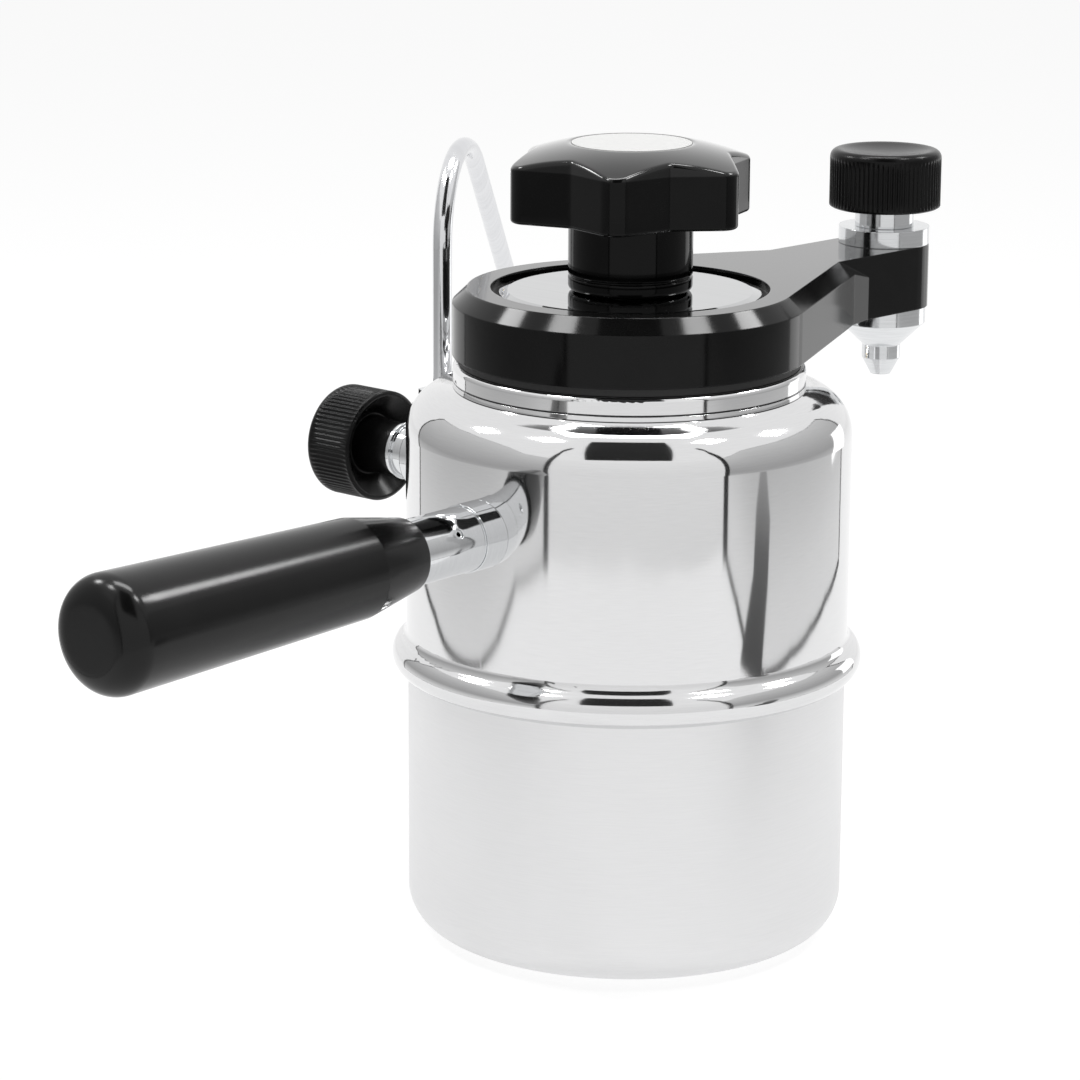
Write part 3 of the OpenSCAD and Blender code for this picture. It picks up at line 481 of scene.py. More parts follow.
def swing(radius: Array, height: Array, angles: Array) -> Array:
    """Surface of a profile swung round the Z axis: x = r cos a, y = r sin a, z = h.

    Args:
        radius: r for each angle and station, or for each station alone.
        height: h in the same shape.
        angles: a in radians.

    Returns:
        Points by angle and station.
    """
    shape = (len(angles), radius.shape[-1])
    r, h = np.broadcast_to(radius, shape), np.broadcast_to(height, shape)
    return np.stack([r * np.cos(angles)[:, None], r * np.sin(angles)[:, None], h], -1)


def eased_profile(corners: Sequence[Spot], steps: int = 8) -> Array:
    """Profile through corners, each eased by an arc of its own radius.

    An arc touches both sides of its corner: it starts r times the tangent of half the turn before the
    corner, and its centre stands off along the bisector.

    Args:
        corners: radius from the axis, height and easing radius of each corner.
        steps: points on each arc.

    Returns:
        Points of the profile, as radius and height.
    """
    spots = np.array([c[:2] for c in corners], float)
    parts = [spots[:1]]
    for before, spot, after, (_, _, ease) in zip(spots[:-2], spots[1:-1], spots[2:], corners[1:-1]):
        a = (before - spot) / np.linalg.norm(before - spot)
        b = (after - spot) / np.linalg.norm(after - spot)
        half = math.acos(max(-1.0, min(1.0, float(a @ b)))) / 2.0
        if ease <= 0.0 or half > NEARLY_STRAIGHT:
            parts.append(spot[None])
            continue
        reach = ease / math.tan(half)
        centre = spot + (a + b) / np.linalg.norm(a + b) * ease / math.sin(half)
        start, stop = spot + a * reach - centre, spot + b * reach - centre
        first = math.atan2(start[1], start[0])
        sweep = (math.atan2(stop[1], stop[0]) - first + math.pi) % (2.0 * math.pi) - math.pi
        at = first + sweep * np.linspace(0.0, 1.0, steps)
        parts.append(centre + ease * np.stack([np.cos(at), np.sin(at)], -1))
    return np.concatenate([*parts, spots[-1:]])


def dense(profile: Array, step: float) -> Array:
    """Profile with points added on its long straight runs.

    Args:
        profile: points, as radius and height.
        step: the furthest that two neighbours may lie apart.

    Returns:
        The profile with the added points.
    """
    gaps = np.linalg.norm(np.diff(profile, axis=0), axis=1)
    counts = np.maximum(1, np.ceil(gaps / step).astype(int))
    index = np.repeat(np.arange(len(gaps)), counts)
    within = np.arange(len(index)) - np.repeat(np.cumsum(counts) - counts, counts)
    share = (within / counts[index])[:, None]
    runs = profile[index] * (1.0 - share) + profile[index + 1] * share
    return np.concatenate([runs, profile[-1:]])


@dataclass
class Piece:
    """A new piece: a surface over a grid of points, closed round its first direction and by a pole at each end."""

    name: str
    points: Array
    finish: Finish
    body: Body
    seat: Seat = field(default_factory=Seat)

    @staticmethod
    def faces(rounds: int, stations: int) -> tuple[Array, Array]:
        """Corner numbers of the piece's faces.

        Args:
            rounds: points round the first direction.
            stations: points along the profile.

        Returns:
            The quads between neighbours, and the triangles that close the poles.
        """
        i = np.arange(rounds)[:, None]
        j = np.arange(stations - 1)[None]
        n = (i + 1) % rounds
        ring, after = i * stations, n * stations
        quads = np.stack(np.broadcast_arrays(ring + j, ring + j + 1, after + j + 1, after + j), -1)
        pole = rounds * stations
        i, n = i[:, 0], n[:, 0]
        first = np.stack([np.full(rounds, pole), i * stations, n * stations], -1)
        last = np.stack([np.full(rounds, pole + 1), (n + 1) * stations - 1, (i + 1) * stations - 1], -1)
        return quads.reshape(-1, 4), np.concatenate([first, last])

    def build(self) -> Object:
        """Make the object, with its faces turned outwards, and let it ride on its body.

        Returns:
            The new object, at the origin.
        """
        rounds, stations, _ = self.points.shape
        poles = self.points[:, [0, -1]].mean(0)
        spots = self.seat.carry(np.concatenate([self.points.reshape(-1, 3), poles])) * MM
        quads, fans = self.faces(rounds, stations)
        corners = np.concatenate([quads[:, [0, 1, 2]], quads[:, [0, 2, 3]], fans])
        a, b, c = spots[corners[:, 0]], spots[corners[:, 1]], spots[corners[:, 2]]
        if np.einsum("ij,ij->i", a, np.cross(b, c)).sum() < 0.0:
            quads, fans = quads[:, ::-1], fans[:, ::-1]
        mesh = bpy.data.meshes.new(self.name)
        mesh.from_pydata(spots.tolist(), [], quads.tolist() + fans.tolist())
        mesh.polygons.foreach_set("use_smooth", np.ones(len(mesh.polygons), bool))
        mesh.update()
        mesh.materials.append(self.finish.material())
        made = linked(self.name, mesh)
        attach(made, self.body.value)
        LOG.info("piece %s: %d points, rides on %s", self.name, len(spots), self.body.value)
        return made


class SubAssembly:
    """A group of pieces that are made and dressed together."""

    solids: ClassVar[dict[Finish, Sequence[str]]]

    def build(self) -> None:
        """Make the group's new pieces, where its solids don't carry the whole shape."""

    def finish(self) -> None:
        """Dress the group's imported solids."""
        for finish, nodes in self.solids.items():
            dress(nodes, finish)


class Boiler(SubAssembly):
    """Water cup, upper wall, neck and what stands inside them."""

    solids = {
        CUP_STEEL: ["lower_cup", "filter_basket", "brew_funnel", "upper_screen"],
        WALL_STEEL: ["upper_shell"],
        NECK_STEEL: ["neck_ring"],
        TAP_CHROME: ["clamp_stud"],
    }


@dataclass
class Handle(SubAssembly):
    """Bar handle along -X: ring, ferrule, rolled pin, rod and grip. Sizes in millimetres."""

    solids = {
        HANDLE_CHROME: ["handle_base_ring", "handle_ferrule", "handle_rod", "handle_pin"],
        GRIP_BLACK: ["handle_grip"],
    }
    height: float = 101.1
    start: float = 75.05
    length: float = 91.0
    neck_r: float = 8.2
    cone: float = 16.0
    waist_r: float = 11.0
    end_r: float = 12.65
    end_round: float = 6.0
    bore_r: float = 4.05
    bore: float = 60.0
    neck_set_in: float = 0.05
    lip_round: float = 0.7
    waist_round: float = 3.5
    rounds: int = 192

    def grip(self) -> Piece:
        """Grip swung round the handle's axis: bore, lipped neck, cone, slow taper and a rounded end.

        Returns:
            The grip.
        """
        profile = eased_profile([
            (0.4, self.bore, 0.0), (self.bore_r, self.bore, 0.0), (self.bore_r, 0.0, 0.0),
            (self.neck_r - self.neck_set_in, 0.0, self.lip_round), (self.waist_r, self.cone, self.waist_round),
            (self.end_r, self.length - self.end_round, 0.0)], 10)
        at = np.linspace(0.0, 1.0, 18)[1:] * np.pi / 2.0
        inner = self.end_r - self.end_round
        tip = np.stack([inner + self.end_round * np.cos(at), self.length - self.end_round * (1.0 - np.sin(at))], -1)
        face = np.stack([np.linspace(inner, 0.6, 6)[1:], np.full(5, self.length)], -1)
        profile = dense(np.concatenate([profile, tip, face]), 4.0)
        points = swing(profile[:, 0], profile[:, 1], turn_angles(self.rounds))
        seat = Seat((-self.start, 0.0, self.height), (0.0, 1.0, 0.0), (0.0, 0.0, -1.0), (-1.0, 0.0, 0.0))
        return Piece("grip", points, GRIP_BLACK, Body.BASE, seat=seat)

    def build(self) -> None:
        """Make the grip with its eased creases."""
        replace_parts(self.grip().build(), "handle_grip")


@dataclass
class ValveKnob:
    """Fluted knob with a dished top, as on both valves; its foot is at height 0. Sizes in millimetres."""

    radius: float = 13.25
    height: float = 13.9
    flutes: int = 72
    flute_d: float = 0.35
    flute_points: int = 10
    rim: float = 1.9
    foot: float = 0.4
    dish: float = 1.2
    lip_r: float = 12.6
    lip: float = 0.4
    hollow_r: float = 7.4
    hollow: float = 4.5
    bore_r: float = 3.05
    boss: float = 0.0
    boss_r: float = 6.2
    boss_foot_r: float = 7.0
    set_in: float = 0.02
    cover: float = 2.0
    fade: float = 0.8
    side_ease: float = 0.3

    def surface(self) -> Array:
        """Profile swung round the axis, its side sunk by a cosine flute.

        The flute's depth follows (1 - cos(n a)) / 2 round the side, and fades out by a smooth step
        towards the rim and the foot.

        Returns:
            Points by angle and station.
        """
        outer = self.radius - self.set_in
        bore_end = self.height - self.dish - self.cover
        floor = [(self.bore_r, self.hollow, 0.3), (self.hollow_r, self.hollow, 0.8)]
        if self.boss > 0.0:
            floor = [(self.bore_r, -self.boss, 0.2), (self.boss_r, -self.boss, 0.5),
                     (self.boss_foot_r, self.hollow, 0.15), (self.hollow_r, self.hollow, 0.15)]
        lower = eased_profile([
            (0.3, bore_end, 0.0), (self.bore_r, bore_end, 0.2), *floor,
            (self.lip_r - self.lip, 0.0, 0.1), (self.lip_r, 0.0, 0.15), (outer, self.foot, 0.3),
            (outer, self.height, self.rim), (outer - self.rim - 0.6, self.height, 0.5)], 9)
        r = np.linspace(lower[-1, 0], 0.3, 12)[1:]
        span = lower[-1, 0]
        bowl = np.stack([r, self.height - self.dish * (1.0 - (r / span) ** 2)], -1)
        profile = dense(np.concatenate([lower, bowl]), 1.2)
        angles = turn_angles(self.flutes * self.flute_points)
        r, z = profile.T
        side = np.clip((r - (outer - self.side_ease)) / self.side_ease, 0.0, 1.0)
        low = np.clip((z - self.foot) / self.fade, 0.0, 1.0)
        fade = low * np.clip((self.height - self.rim - z) / self.fade, 0.0, 1.0)
        sink = self.flute_d * side * fade * fade * (3.0 - 2.0 * fade)
        wave = 0.5 - 0.5 * np.cos(self.flutes * angles)
        return swing(r[None] - wave[:, None] * sink[None], z[None], angles)


@dataclass
class SteamValve(SubAssembly):
    """Steam valve on +Y with its knob, and the wand that rises from it. Sizes in millimetres."""

    solids = {
        STEAM_CHROME: ["steam_valve_body", "steam_gland", "steam_spindle", "wand_nut"],
        TUBE_STEEL: ["steam_wand", "wand_tip"],
        RUBBER: ["steam_seat_disc"],
        VALVE_BLACK: ["steam_knob"],
    }
    knob_y: float = 75.45
    height: float = 100.8
    knob: ValveKnob = field(default_factory=lambda: ValveKnob(boss=6.2))

    def build(self) -> None:
        """Make the fluted knob."""
        seat = Seat((0.0, self.knob_y, self.height), (1.0, 0.0, 0.0), (0.0, 0.0, -1.0), (0.0, 1.0, 0.0))
        made = Piece("steam_valve_knob", self.knob.surface(), VALVE_BLACK, Body.STEAM_TAP, seat=seat).build()
        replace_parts(made, "steam_knob")


@dataclass
class SafetyValve(SubAssembly):
    """Safety valve on the back wall with its spring. Sizes in millimetres."""

    solids = {
        TAP_CHROME: ["safety_body", "safety_cap"],
        BRASS: ["safety_stem"],
        TUBE_STEEL: ["safety_spring"],
    }
    turn: float = 45.0
    wall_r: float = 50.45
    height: float = 108.0
    start: float = 4.75
    stop: float = 12.45
    coil_r: float = 3.0
    wire_r: float = 0.45
    turns: int = 5
    turn_points: int = 40
    wire_points: int = 14
    travel: float = 1.5

    def outward(self) -> Flat:
        """Direction of the valve's axis, away from the boiler."""
        return math.cos(math.radians(self.turn)), math.sin(math.radians(self.turn))

    def spring(self) -> Piece:
        """Spring: a circle of the wire's radius carried along a helix, its ends closed by poles.

        The helix is (R cos t, R sin t, rising evenly), and the circle stands across it on the outward
        direction and on the cross product of that with the helix's direction.

        Returns:
            The spring.
        """
        t = np.linspace(0.0, 2.0 * np.pi * self.turns, self.turns * self.turn_points + 1)
        rise = (self.stop - self.start) / t[-1]
        out = np.stack([np.cos(t), np.sin(t), np.zeros_like(t)], -1)
        along = np.stack([-self.coil_r * np.sin(t), self.coil_r * np.cos(t), np.full_like(t, rise)], -1)
        along /= np.linalg.norm(along, axis=1)[:, None]
        up = np.cross(along, out)
        line = out * self.coil_r + np.outer(self.start + rise * t, (0.0, 0.0, 1.0))
        a = turn_angles(self.wire_points)[:, None, None]
        points = line[None] + self.wire_r * (np.cos(a) * out[None] + np.sin(a) * up[None])
        c, s = self.outward()
        seat = Seat((self.wall_r * c, self.wall_r * s, self.height), (0.0, 0.0, -1.0), (-s, c, 0.0), (c, s, 0.0))
        return Piece("relief_spring", points, TUBE_STEEL, Body.BASE, seat=seat)

    def build(self) -> None:
        """Make the spring and give it a mesh of its own."""
        made = self.spring().build()
        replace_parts(made, "safety_spring")
        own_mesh(made)


@dataclass
class Head(SubAssembly):
    """Cap with its arm, disc, gasket and the coffee tap. Sizes in millimetres."""

    solids = {
        CAP_BLACK: ["cap_arm"],
        DISC_STEEL: ["cap_disc"],
        RUBBER: ["head_gasket", "tap_seat_disc"],
        TAP_CHROME: ["tap_bonnet", "tap_gland", "spout_nozzle", "tap_spindle"],
        VALVE_BLACK: ["tap_knob"],
    }
    arm_turn: float = -4.5
    tap_x: float = 87.0
    knob_z: float = 157.3
    knob: ValveKnob = field(default_factory=ValveKnob)

    def build(self) -> None:
        """Make the coffee tap's knob."""
        a = math.radians(self.arm_turn)
        seat = Seat((self.tap_x * math.cos(a), self.tap_x * math.sin(a), self.knob_z))
        made = Piece("coffee_tap_knob", self.knob.surface(), VALVE_BLACK, Body.COFFEE_TAP, seat=seat).build()
        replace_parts(made, "tap_knob")


@dataclass
class StarKnob(SubAssembly):
    """Clamp knob with six lobes on a round hub. Sizes in millimetres."""

    solids = {
        KNOB_BLACK: ["star_knob"],
        WASHER_BLACK: ["thrust_washer"],
        INLAY: ["knob_label_disc"],
        BRASS: ["knob_insert"],
    }
    lobes: int = 6
    lobe_r: float = 28.5
    tip_r: float = 4.5
    valley_r: float = 22.2
    valley_round: float = 2.5
    turn: float = 32.0
    hub_r: float = 14.0
    foot_z: float = 148.4
    foot_round: float = 1.3
    washer_r: float = 11.5
    bearing_z: float = 149.3
    lobe_z: float = 164.8
    lobe_h: float = 12.9
    crown: float = 3.8
    label_r: float = 14.4
    label_t: float = 0.5
    edge: float = 1.5
    under_edge: float = 0.8
    bore_r: float = 7.05
    bore_top: float = 175.7
    crown_slope: float = 0.5875
    crown_bend: float = 0.4125
    edge_turn: float = 1.32
    seat_gap: float = 0.95
    flare: float = 0.8
    ring_d: float = 0.45
    ring_top: float = 3.8
    ring_foot: float = 3.1
    rounds: int = 1080

    def plan(self, angles: Array) -> Array:
        """Radius of the star's outline: round tips and round valleys joined by straight flanks.

        The flank is the line that touches both circles, so its normal leaves the line between their
        centres by the arc cosine of the radii's sum over the distance. Within half a lobe the outline is
        the tip's circle, then the flank at its distance over the cosine of the angle to its normal, then
        the near side of the valley's circle.

        Args:
            angles: directions from the axis, in radians.

        Returns:
            Radius for each direction.
        """
        half = math.pi / self.lobes
        fold = np.abs((angles - math.radians(self.turn) + half) % (2.0 * half) - half)
        tip, hollow = self.lobe_r - self.tip_r, self.valley_r + self.valley_round
        centre = np.array([tip, 0.0])
        gap = hollow * np.array([math.cos(half), math.sin(half)]) - centre
        lean = math.atan2(gap[1], gap[0])
        lean -= math.acos((self.tip_r + self.valley_round) / float(np.linalg.norm(gap)))
        normal = np.array([math.cos(lean), math.sin(lean)])
        start = centre + self.tip_r * normal
        stop = centre + gap - self.valley_round * normal
        flank = float(start @ normal) / np.cos(fold - lean)
        lobe = tip * np.cos(fold) + np.sqrt(np.maximum(self.tip_r ** 2 - (tip * np.sin(fold)) ** 2, 0.0))
        off = fold - half
        across = np.maximum(self.valley_round ** 2 - (hollow * np.sin(off)) ** 2, 0.0)
        valley = hollow * np.cos(off) - np.sqrt(across)
        inner = np.where(fold < math.atan2(stop[1], stop[0]), flank, valley)
        return np.where(fold < math.atan2(start[1], start[0]), lobe, inner)

    def crown_z(self, points: Array) -> Array:
        """Height of the crowned top: it falls ever faster with the distance from the label."""
        t = (np.linalg.norm(points, axis=-1) - self.label_r) / (self.lobe_r - 1.0 - self.label_r)
        return self.lobe_z + self.lobe_h + self.crown * (1.0 - self.crown_slope * t - self.crown_bend * t * t)

    def surface(self) -> Array:
        """Label seat, crown, eased lobe edges, hub and bore as one profile that follows the plan.

        The edges are quarter arcs whose points are set in from the outline along its own normal, which is
        the outline's direction turned by a right angle.

        Returns:
            Points by angle and station.
        """
        angles = turn_angles(self.rounds)
        ray = np.stack([np.cos(angles), np.sin(angles)], -1)[:, None]
        rim = self.plan(angles)[:, None, None] * ray
        along = np.roll(rim, -1, 0) - np.roll(rim, 1, 0)
        inward = np.stack([-along[..., 1], along[..., 0]], -1) / np.linalg.norm(along, axis=-1, keepdims=True)
        top = self.lobe_z + self.lobe_h + self.crown
        seat_r = self.label_r - self.seat_gap
        head_r = np.array([0.5, 6.0, seat_r - 0.1, seat_r, seat_r, seat_r + 0.15, self.label_r])
        head_z = np.array([top - self.label_t] * 3 + [top - self.label_t + 0.1, top - 0.15, top - 0.02, top])
        bend = np.linspace(self.edge_turn, 0.0, 10)
        edge = rim + inward * (self.edge * (1.0 - np.cos(bend)))[None, :, None]
        edge_z = self.crown_z(edge[:, :1]) + self.edge * (np.sin(bend) - math.sin(self.edge_turn))
        t = np.linspace(0.0, 1.0, 15)[None, 1:-1, None]
        crown = ray * self.label_r * (1.0 - t) + edge[:, :1] * t
        side_t = np.linspace(0.0, 1.0, 6)[None, 1:-1]
        side_z = edge_z[:, -1:] * (1.0 - side_t) + (self.lobe_z + self.under_edge) * side_t
        tuck = np.linspace(0.0, -np.pi / 2.0, 7)
        under = rim + inward * (self.under_edge * (1.0 - np.cos(tuck)))[None, :, None]
        under_z = self.lobe_z + self.under_edge * (1.0 + np.sin(tuck))
        t = np.linspace(0.0, 1.0, 7)[None, 1:-1, None]
        soffit = under[:, -1:] * (1.0 - t) + ray * (self.hub_r + self.flare) * t
        ring_r, high, low = self.hub_r - self.ring_d, self.foot_z + self.ring_top, self.foot_z + self.ring_foot
        hub = dense(eased_profile([
            (self.hub_r + self.flare, self.lobe_z, 0.0), (self.hub_r, self.lobe_z, 0.6), (self.hub_r, high, 0.15),
            (ring_r, high - 0.2, 0.15), (ring_r, low + 0.2, 0.15),
            (self.hub_r, low, 0.2), (self.hub_r, self.foot_z, self.foot_round),
            (self.washer_r, self.foot_z, 0.3), (self.washer_r, self.bearing_z, 0.2), (self.bore_r, self.bearing_z, 0.3),
            (self.bore_r, self.bore_top, 0.0), (0.5, self.bore_top, 0.0)], 6), 3.0)
        flat = np.concatenate([
            head_r[None, :, None] * ray, crown, edge, np.repeat(rim, side_t.shape[1], 1), under, soffit,
            hub[None, :, :1] * ray], 1)
        ones = np.ones((len(angles), 1))
        height = np.concatenate([
            head_z * ones, self.crown_z(crown), edge_z, side_z, under_z * ones,
            np.full(soffit.shape[:2], self.lobe_z), hub[:, 1] * ones], 1)
        return np.concatenate([flat, height[..., None]], -1)

    def build(self) -> None:
        """Make the knob with eased edges."""
        made = Piece("clamp_star_knob", self.surface(), KNOB_BLACK, Body.CLAMP_KNOB).build()
        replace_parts(made, "star_knob")


@dataclass
class Studio:
    """Floor, lamps, light tent, backdrop and camera. Places are given as the camera sees them, in metres."""

    turn: float = 50.5
    distance: float = 0.8839
    height: float = 0.3130
    yaw: float = -1.292
    pitch: float = 14.149
    roll: float = -0.298
    focal_px: float = 4001.6
    frame_px: float = 1080.0
    sensor_mm: float = 36.0
    far_clip: float = 50.0
    floor_half: float = 6.0
    floor_drop: float = 0.0003
    floor_lit: float = 0.80
    floor_seen: float = 0.30
    floor_glow: float = 0.81
    fill_light: float = 0.42
    lamp_size: tuple[float, float] = (0.18, 0.16)
    lamp_aim: Spot = (0.0, 0.0, 0.14)
    lamps: dict[str, tuple[Spot, float]] = field(default_factory=lambda: {
        "front": ((0.46, -0.08, 1.08), 2.0), "back": ((0.68, 0.29, 0.88), 1.8)})
    flag_level: float = 0.05
    tent_top: float = 0.32
    hem: float = 0.006
    foot_w: float = 0.020
    near_edges: tuple[Flat, Flat] = ((0.314, -0.284), (-0.264, -0.320))
    near_edge_w: float = 0.018
    near_edge_top: float = 0.70
    far_edges: tuple[Flat, Flat] = ((0.270, 0.262), (-0.298, 0.235))
    far_edge_w: float = 0.008
    opening: tuple[Spot, ...] = ((-0.34, -0.79, 0.62), (0.34, -0.79, 0.62), (0.20, -0.15, 1.09), (-0.20, -0.15, 1.09))
    glowing: dict[str, tuple[float, list[Spot]]] = field(default_factory=lambda: {
        "top_panel": (12.0, [(-0.28, 0.10, 1.1), (0.28, 0.10, 1.1), (0.28, 0.34, 1.1), (-0.28, 0.34, 1.1)]),
        "side_panel": (1.6, [(0.262, 0.148, 0.05), (0.250, 0.26, 0.05), (0.250, 0.26, 0.16), (0.262, 0.148, 0.16)]),
    })
    gap_x: float = 0.25
    gap_rungs: tuple[Spot, ...] = (
        (-0.172, -0.107, 0.0), (-0.134, -0.091, 0.031), (-0.129, -0.088, 0.050), (-0.112, -0.107, 0.070))
    tent: dict[str, list[Flat]] = field(default_factory=lambda: {
        "front_wall": [(-0.275, -0.335), (-0.15, -0.40), (0.0, -0.43), (0.16, -0.39), (0.330, -0.298)],
        "right_front_wall": [(0.330, -0.298), (0.306, -0.216), (0.270, -0.141)],
        "right_back_wall": [
            (0.270, -0.141), (0.273, -0.10), (0.302, -0.019), (0.312, 0.066), (0.307, 0.153), (0.272, 0.262)],
        "left_wall": [
            (-0.275, -0.335), (-0.326, -0.223), (-0.293, -0.131), (-0.284, -0.078), (-0.295, 0.054),
            (-0.306, 0.112), (-0.30, 0.235)],
    })
    level_heights: tuple[float, ...] = (0.0, 0.020, 0.040, 0.090)
    levels: dict[str, tuple[float, ...]] = field(default_factory=lambda: {
        "front_wall": (0.85, 0.88, 0.90, 0.88, 0.97),
        "right_front_wall": (0.88, 0.82, 0.68, 0.42, 0.70),
        "right_back_wall": (0.88, 0.82, 0.70, 0.42, 0.70),
        "left_wall": (0.86, 0.78, 0.68, 0.42, 0.72),
        "tent_gap": (0.09, 0.11, 0.16, 0.60, 0.90),
    })

    def from_camera(self, x: float, y: float, z: float) -> Spot:
        """Point in the part's frame, from metres right of, beyond and above the base's centre."""
        a = math.radians(-self.turn)
        return (x * math.cos(a) - y * math.sin(a), x * math.sin(a) + y * math.cos(a), z)

    def camera(self) -> None:
        """Camera with the photograph's place, direction and lens.

        The forward direction comes from yaw and pitch, the right-hand direction is level, and both image
        directions are then turned by the roll.
        """
        yaw, pitch, roll = (math.radians(v) for v in (self.yaw, self.pitch, self.roll))
        ahead = np.array([math.sin(yaw) * math.cos(pitch), math.cos(yaw) * math.cos(pitch), -math.sin(pitch)])
        right = np.array([math.cos(yaw), -math.sin(yaw), 0.0])
        down = np.cross(ahead, right)
        right, down = math.cos(roll) * right + math.sin(roll) * down, math.cos(roll) * down - math.sin(roll) * right
        data = bpy.data.cameras.new("photo_camera")
        data.sensor_fit = "HORIZONTAL"
        data.sensor_width = self.sensor_mm
        data.lens = self.focal_px * self.sensor_mm / self.frame_px
        data.clip_end = self.far_clip
        made = linked("photo_camera", data)
        places = (right, -down, -ahead, (0.0, -self.distance, self.height))
        made.matrix_world = posed([self.from_camera(*place) for place in places])
        bpy.context.scene.camera = made

    def lamp(self, name: str, spot: Spot, power: float) -> None:
        """Soft rectangular lamp that faces the object.

        Args:
            name: the lamp's name.
            spot: its place as the camera sees it.
            power: power in watts.
        """
        data = bpy.data.lights.new(name, "AREA")
        data.shape = "RECTANGLE"
        data.size, data.size_y = self.lamp_size
        data.energy = power
        start, end = np.array(self.from_camera(*spot)), np.array(self.from_camera(*self.lamp_aim))
        back = (start - end) / np.linalg.norm(start - end)
        side = np.cross([0.0, 0.0, 1.0], back)
        side /= np.linalg.norm(side)
        linked(name, data).matrix_world = posed([side, np.cross(back, side), back, start])

    def sheet(self, name: str, quads: Sequence[Sequence[Spot]], material: Material, seen: bool) -> None:
        """Stage sheet of flat four-cornered faces, which isn't part of the object.

        Args:
            name: the sheet's name.
            quads: corners of each face, as the camera sees them.
            material: the sheet's material.
            seen: whether more than reflections see it.
        """
        mesh = bpy.data.meshes.new(name)
        faces = np.arange(4 * len(quads)).reshape(-1, 4)
        mesh.from_pydata([self.from_camera(*c) for quad in quads for c in quad], [], faces.tolist())
        mesh.materials.append(material)
        made = linked(name, mesh)
        made.visible_camera = made.visible_diffuse = made.visible_shadow = seen

    @staticmethod
    def material(name: str, values: dict[str, Any]) -> Material:
        """Material of a stage sheet.

        Args:
            name: the material's name.
            values: values by the shader's input.

        Returns:
            The material.
        """
        made = bpy.data.materials.new(name)
        made.use_nodes = True
        for socket, value in values.items():
            made.node_tree.nodes["Principled BSDF"].inputs[socket].default_value = value
        return made

    @staticmethod
    def picked(graph: NodeGraph, plain: Socket, seen: Socket, kind: str) -> None:
        """Send one shader to the rays that are seen and another to the rest.

        Args:
            graph: the nodes of the material or world.
            plain: shader for the light on other things.
            seen: shader for camera, glossy and transmission rays.
            kind: Blender's name of the output node.
        """
        pick = graph.wire("ShaderNodeMixShader", {0: graph.seen(), 1: plain, 2: seen}, 0)
        graph.put(graph.add(kind), "Surface", pick)

    def floor(self) -> None:
        """Pale floor that keeps the object's shadow and runs into the white backdrop."""
        pale = bpy.data.materials.new("pale_floor")
        pale.use_nodes = True
        graph = NodeGraph(pale.node_tree)
        graph.tree.nodes.clear()
        lit = graph.wire("ShaderNodeBsdfDiffuse", {"Color": (*grey(self.floor_lit), 1.0)}, 0)
        shade = graph.wire("ShaderNodeBsdfDiffuse", {"Color": (*grey(self.floor_seen), 1.0)}, 0)
        glow = graph.wire("ShaderNodeEmission", {"Strength": self.floor_glow}, 0)
        both = graph.wire("ShaderNodeAddShader", {0: shade, 1: glow}, 0)
        self.picked(graph, lit, both, "ShaderNodeOutputMaterial")
        half, low = self.floor_half, -self.floor_drop
        quad = [(-half, -half, low), (half, -half, low), (half, half, low), (-half, half, low)]
        self.sheet("floor", [quad], pale, seen=True)

    def flags(self) -> None:
        """Dark edges of the light tent and its opening over the camera."""
        dark = self.material("dark_flag", {
            "Base Color": (*grey(self.flag_level), 1.0), "Roughness": 1.0, "Specular IOR Level": 0.0})
        flags = {
            "front_opening": [self.opening],
            "near_edges": [self.upright(foot, self.near_edge_w, self.near_edge_top) for foot in self.near_edges],
            "far_edges": [self.upright(foot, self.far_edge_w, self.tent_top) for foot in self.far_edges],
        }
        for name, line in self.tent.items():
            if name != "front_wall":
                flags[f"{name}_foot"] = self.strips(line, self.foot_w)
                flags[f"{name}_hem"] = self.curtain(line, self.tent_top - self.hem, self.tent_top)
        for name, quads in flags.items():
            self.sheet(name, quads, dark, seen=False)

    def panels(self) -> None:
        """Bright panels over the object and beside its arm."""
        for name, (glow, quad) in self.glowing.items():
            bright = self.material(name, {
                "Base Color": (*BLACK, 1.0), "Emission Color": (*WHITE, 1.0), "Emission Strength": glow})
            self.sheet(name, [quad], bright, seen=False)

    def walls(self) -> None:
        """Sides of the light tent and the dark gap in one, each with a grey level for five heights."""
        sheets = {name: self.curtain(line, 0.0, self.tent_top) for name, line in self.tent.items()}
        x, rungs = self.gap_x, self.gap_rungs
        sheets["tent_gap"] = [
            [(x, a[0], a[2]), (x, a[1], a[2]), (x, b[1], b[2]), (x, b[0], b[2])] for a, b in zip(rungs[:-1], rungs[1:])]
        places = [height / self.tent_top for height in (*self.level_heights, self.tent_top)]
        for name, quads in sheets.items():
            made = self.material(name, {
                "Base Color": (*BLACK, 1.0), "Specular IOR Level": 0.0, "Emission Strength": 1.0})
            graph = NodeGraph(made.node_tree)
            shade = graph.ramp(graph.height(0.0, self.tent_top), list(zip(places, map(grey, self.levels[name]))))
            graph.put(made.node_tree.nodes["Principled BSDF"], "Emission Color", shade)
            self.sheet(name, quads, made, seen=False)

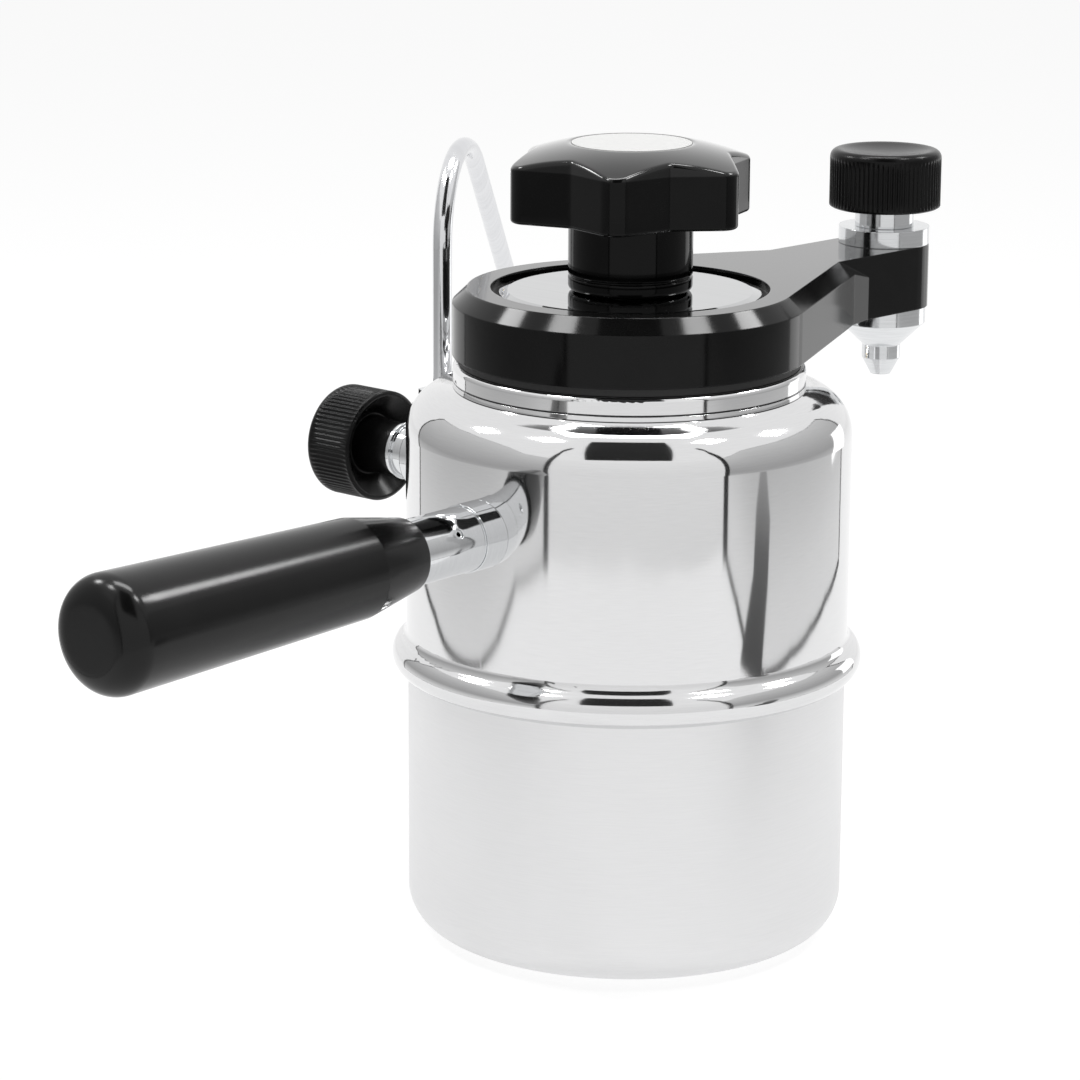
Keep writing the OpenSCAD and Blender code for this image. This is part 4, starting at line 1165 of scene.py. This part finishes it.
    @staticmethod
    def upright(foot: Flat, width: float, top: float) -> list[Spot]:
        """Corners of a standing strip that faces the object.

        Args:
            foot: middle of its foot.
            width: its width.
            top: its height.

        Returns:
            The four corners.
        """
        out = np.array(foot) / np.hypot(*foot)
        side = np.array([-out[1], out[0]]) * width / 2.0
        left, right = np.array(foot) - side, np.array(foot) + side
        return [(*left, 0.0), (*right, 0.0), (*right, top), (*left, top)]

    @staticmethod
    def strips(line: Sequence[Flat], width: float) -> list[list[Spot]]:
        """Corners of the strips that lie on the floor along a line.

        Args:
            line: points of the line.
            width: the strips' width.

        Returns:
            Four corners for each stretch of the line.
        """
        spots = np.array(line)
        way = np.diff(spots, axis=0)
        side = np.stack([-way[:, 1], way[:, 0]], -1) * (width / 2.0 / np.linalg.norm(way, axis=1))[:, None]
        rims = np.stack([spots[:-1] - side, spots[1:] - side, spots[1:] + side, spots[:-1] + side], 1)
        return [[(x, y, 0.0) for x, y in quad] for quad in rims.tolist()]

    @staticmethod
    def curtain(line: Sequence[Flat], low: float, high: float) -> list[list[Spot]]:
        """Corners of the upright faces along a line."""
        return [[(*a, low), (*b, low), (*b, high), (*a, high)] for a, b in zip(line[:-1], line[1:])]

    def backdrop(self) -> None:
        """White for the camera and for reflections, a plain level for the light on the object."""
        world = bpy.data.worlds.new("studio")
        bpy.context.scene.world = world
        world.use_nodes = True
        graph = NodeGraph(world.node_tree)
        graph.tree.nodes.clear()
        plain, white = (
            graph.wire("ShaderNodeBackground", {"Color": (*WHITE, 1.0), "Strength": level}, 0)
            for level in (self.fill_light, 1.0))
        self.picked(graph, plain, white, "ShaderNodeOutputWorld")

    def build(self) -> None:
        """Set up the whole studio."""
        bpy.context.scene.view_settings.view_transform = "Standard"
        self.camera()
        self.backdrop()
        self.floor()
        self.flags()
        self.panels()
        self.walls()
        for side, name in ((-1.0, "left"), (1.0, "right")):
            for place, ((x, y, z), power) in self.lamps.items():
                self.lamp(f"{name}_{place}_lamp", (x * side, y, z), power)


def main() -> None:
    """Build every sub-assembly and the studio."""
    logging.basicConfig(level=logging.INFO, format="%(message)s")
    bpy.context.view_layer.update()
    for group in (Boiler(), Handle(), SteamValve(), SafetyValve(), Head(), StarKnob()):
        LOG.info("group %s", type(group).__name__)
        group.build()
        group.finish()
    Studio().build()


if __name__ == "__main__":
    main()
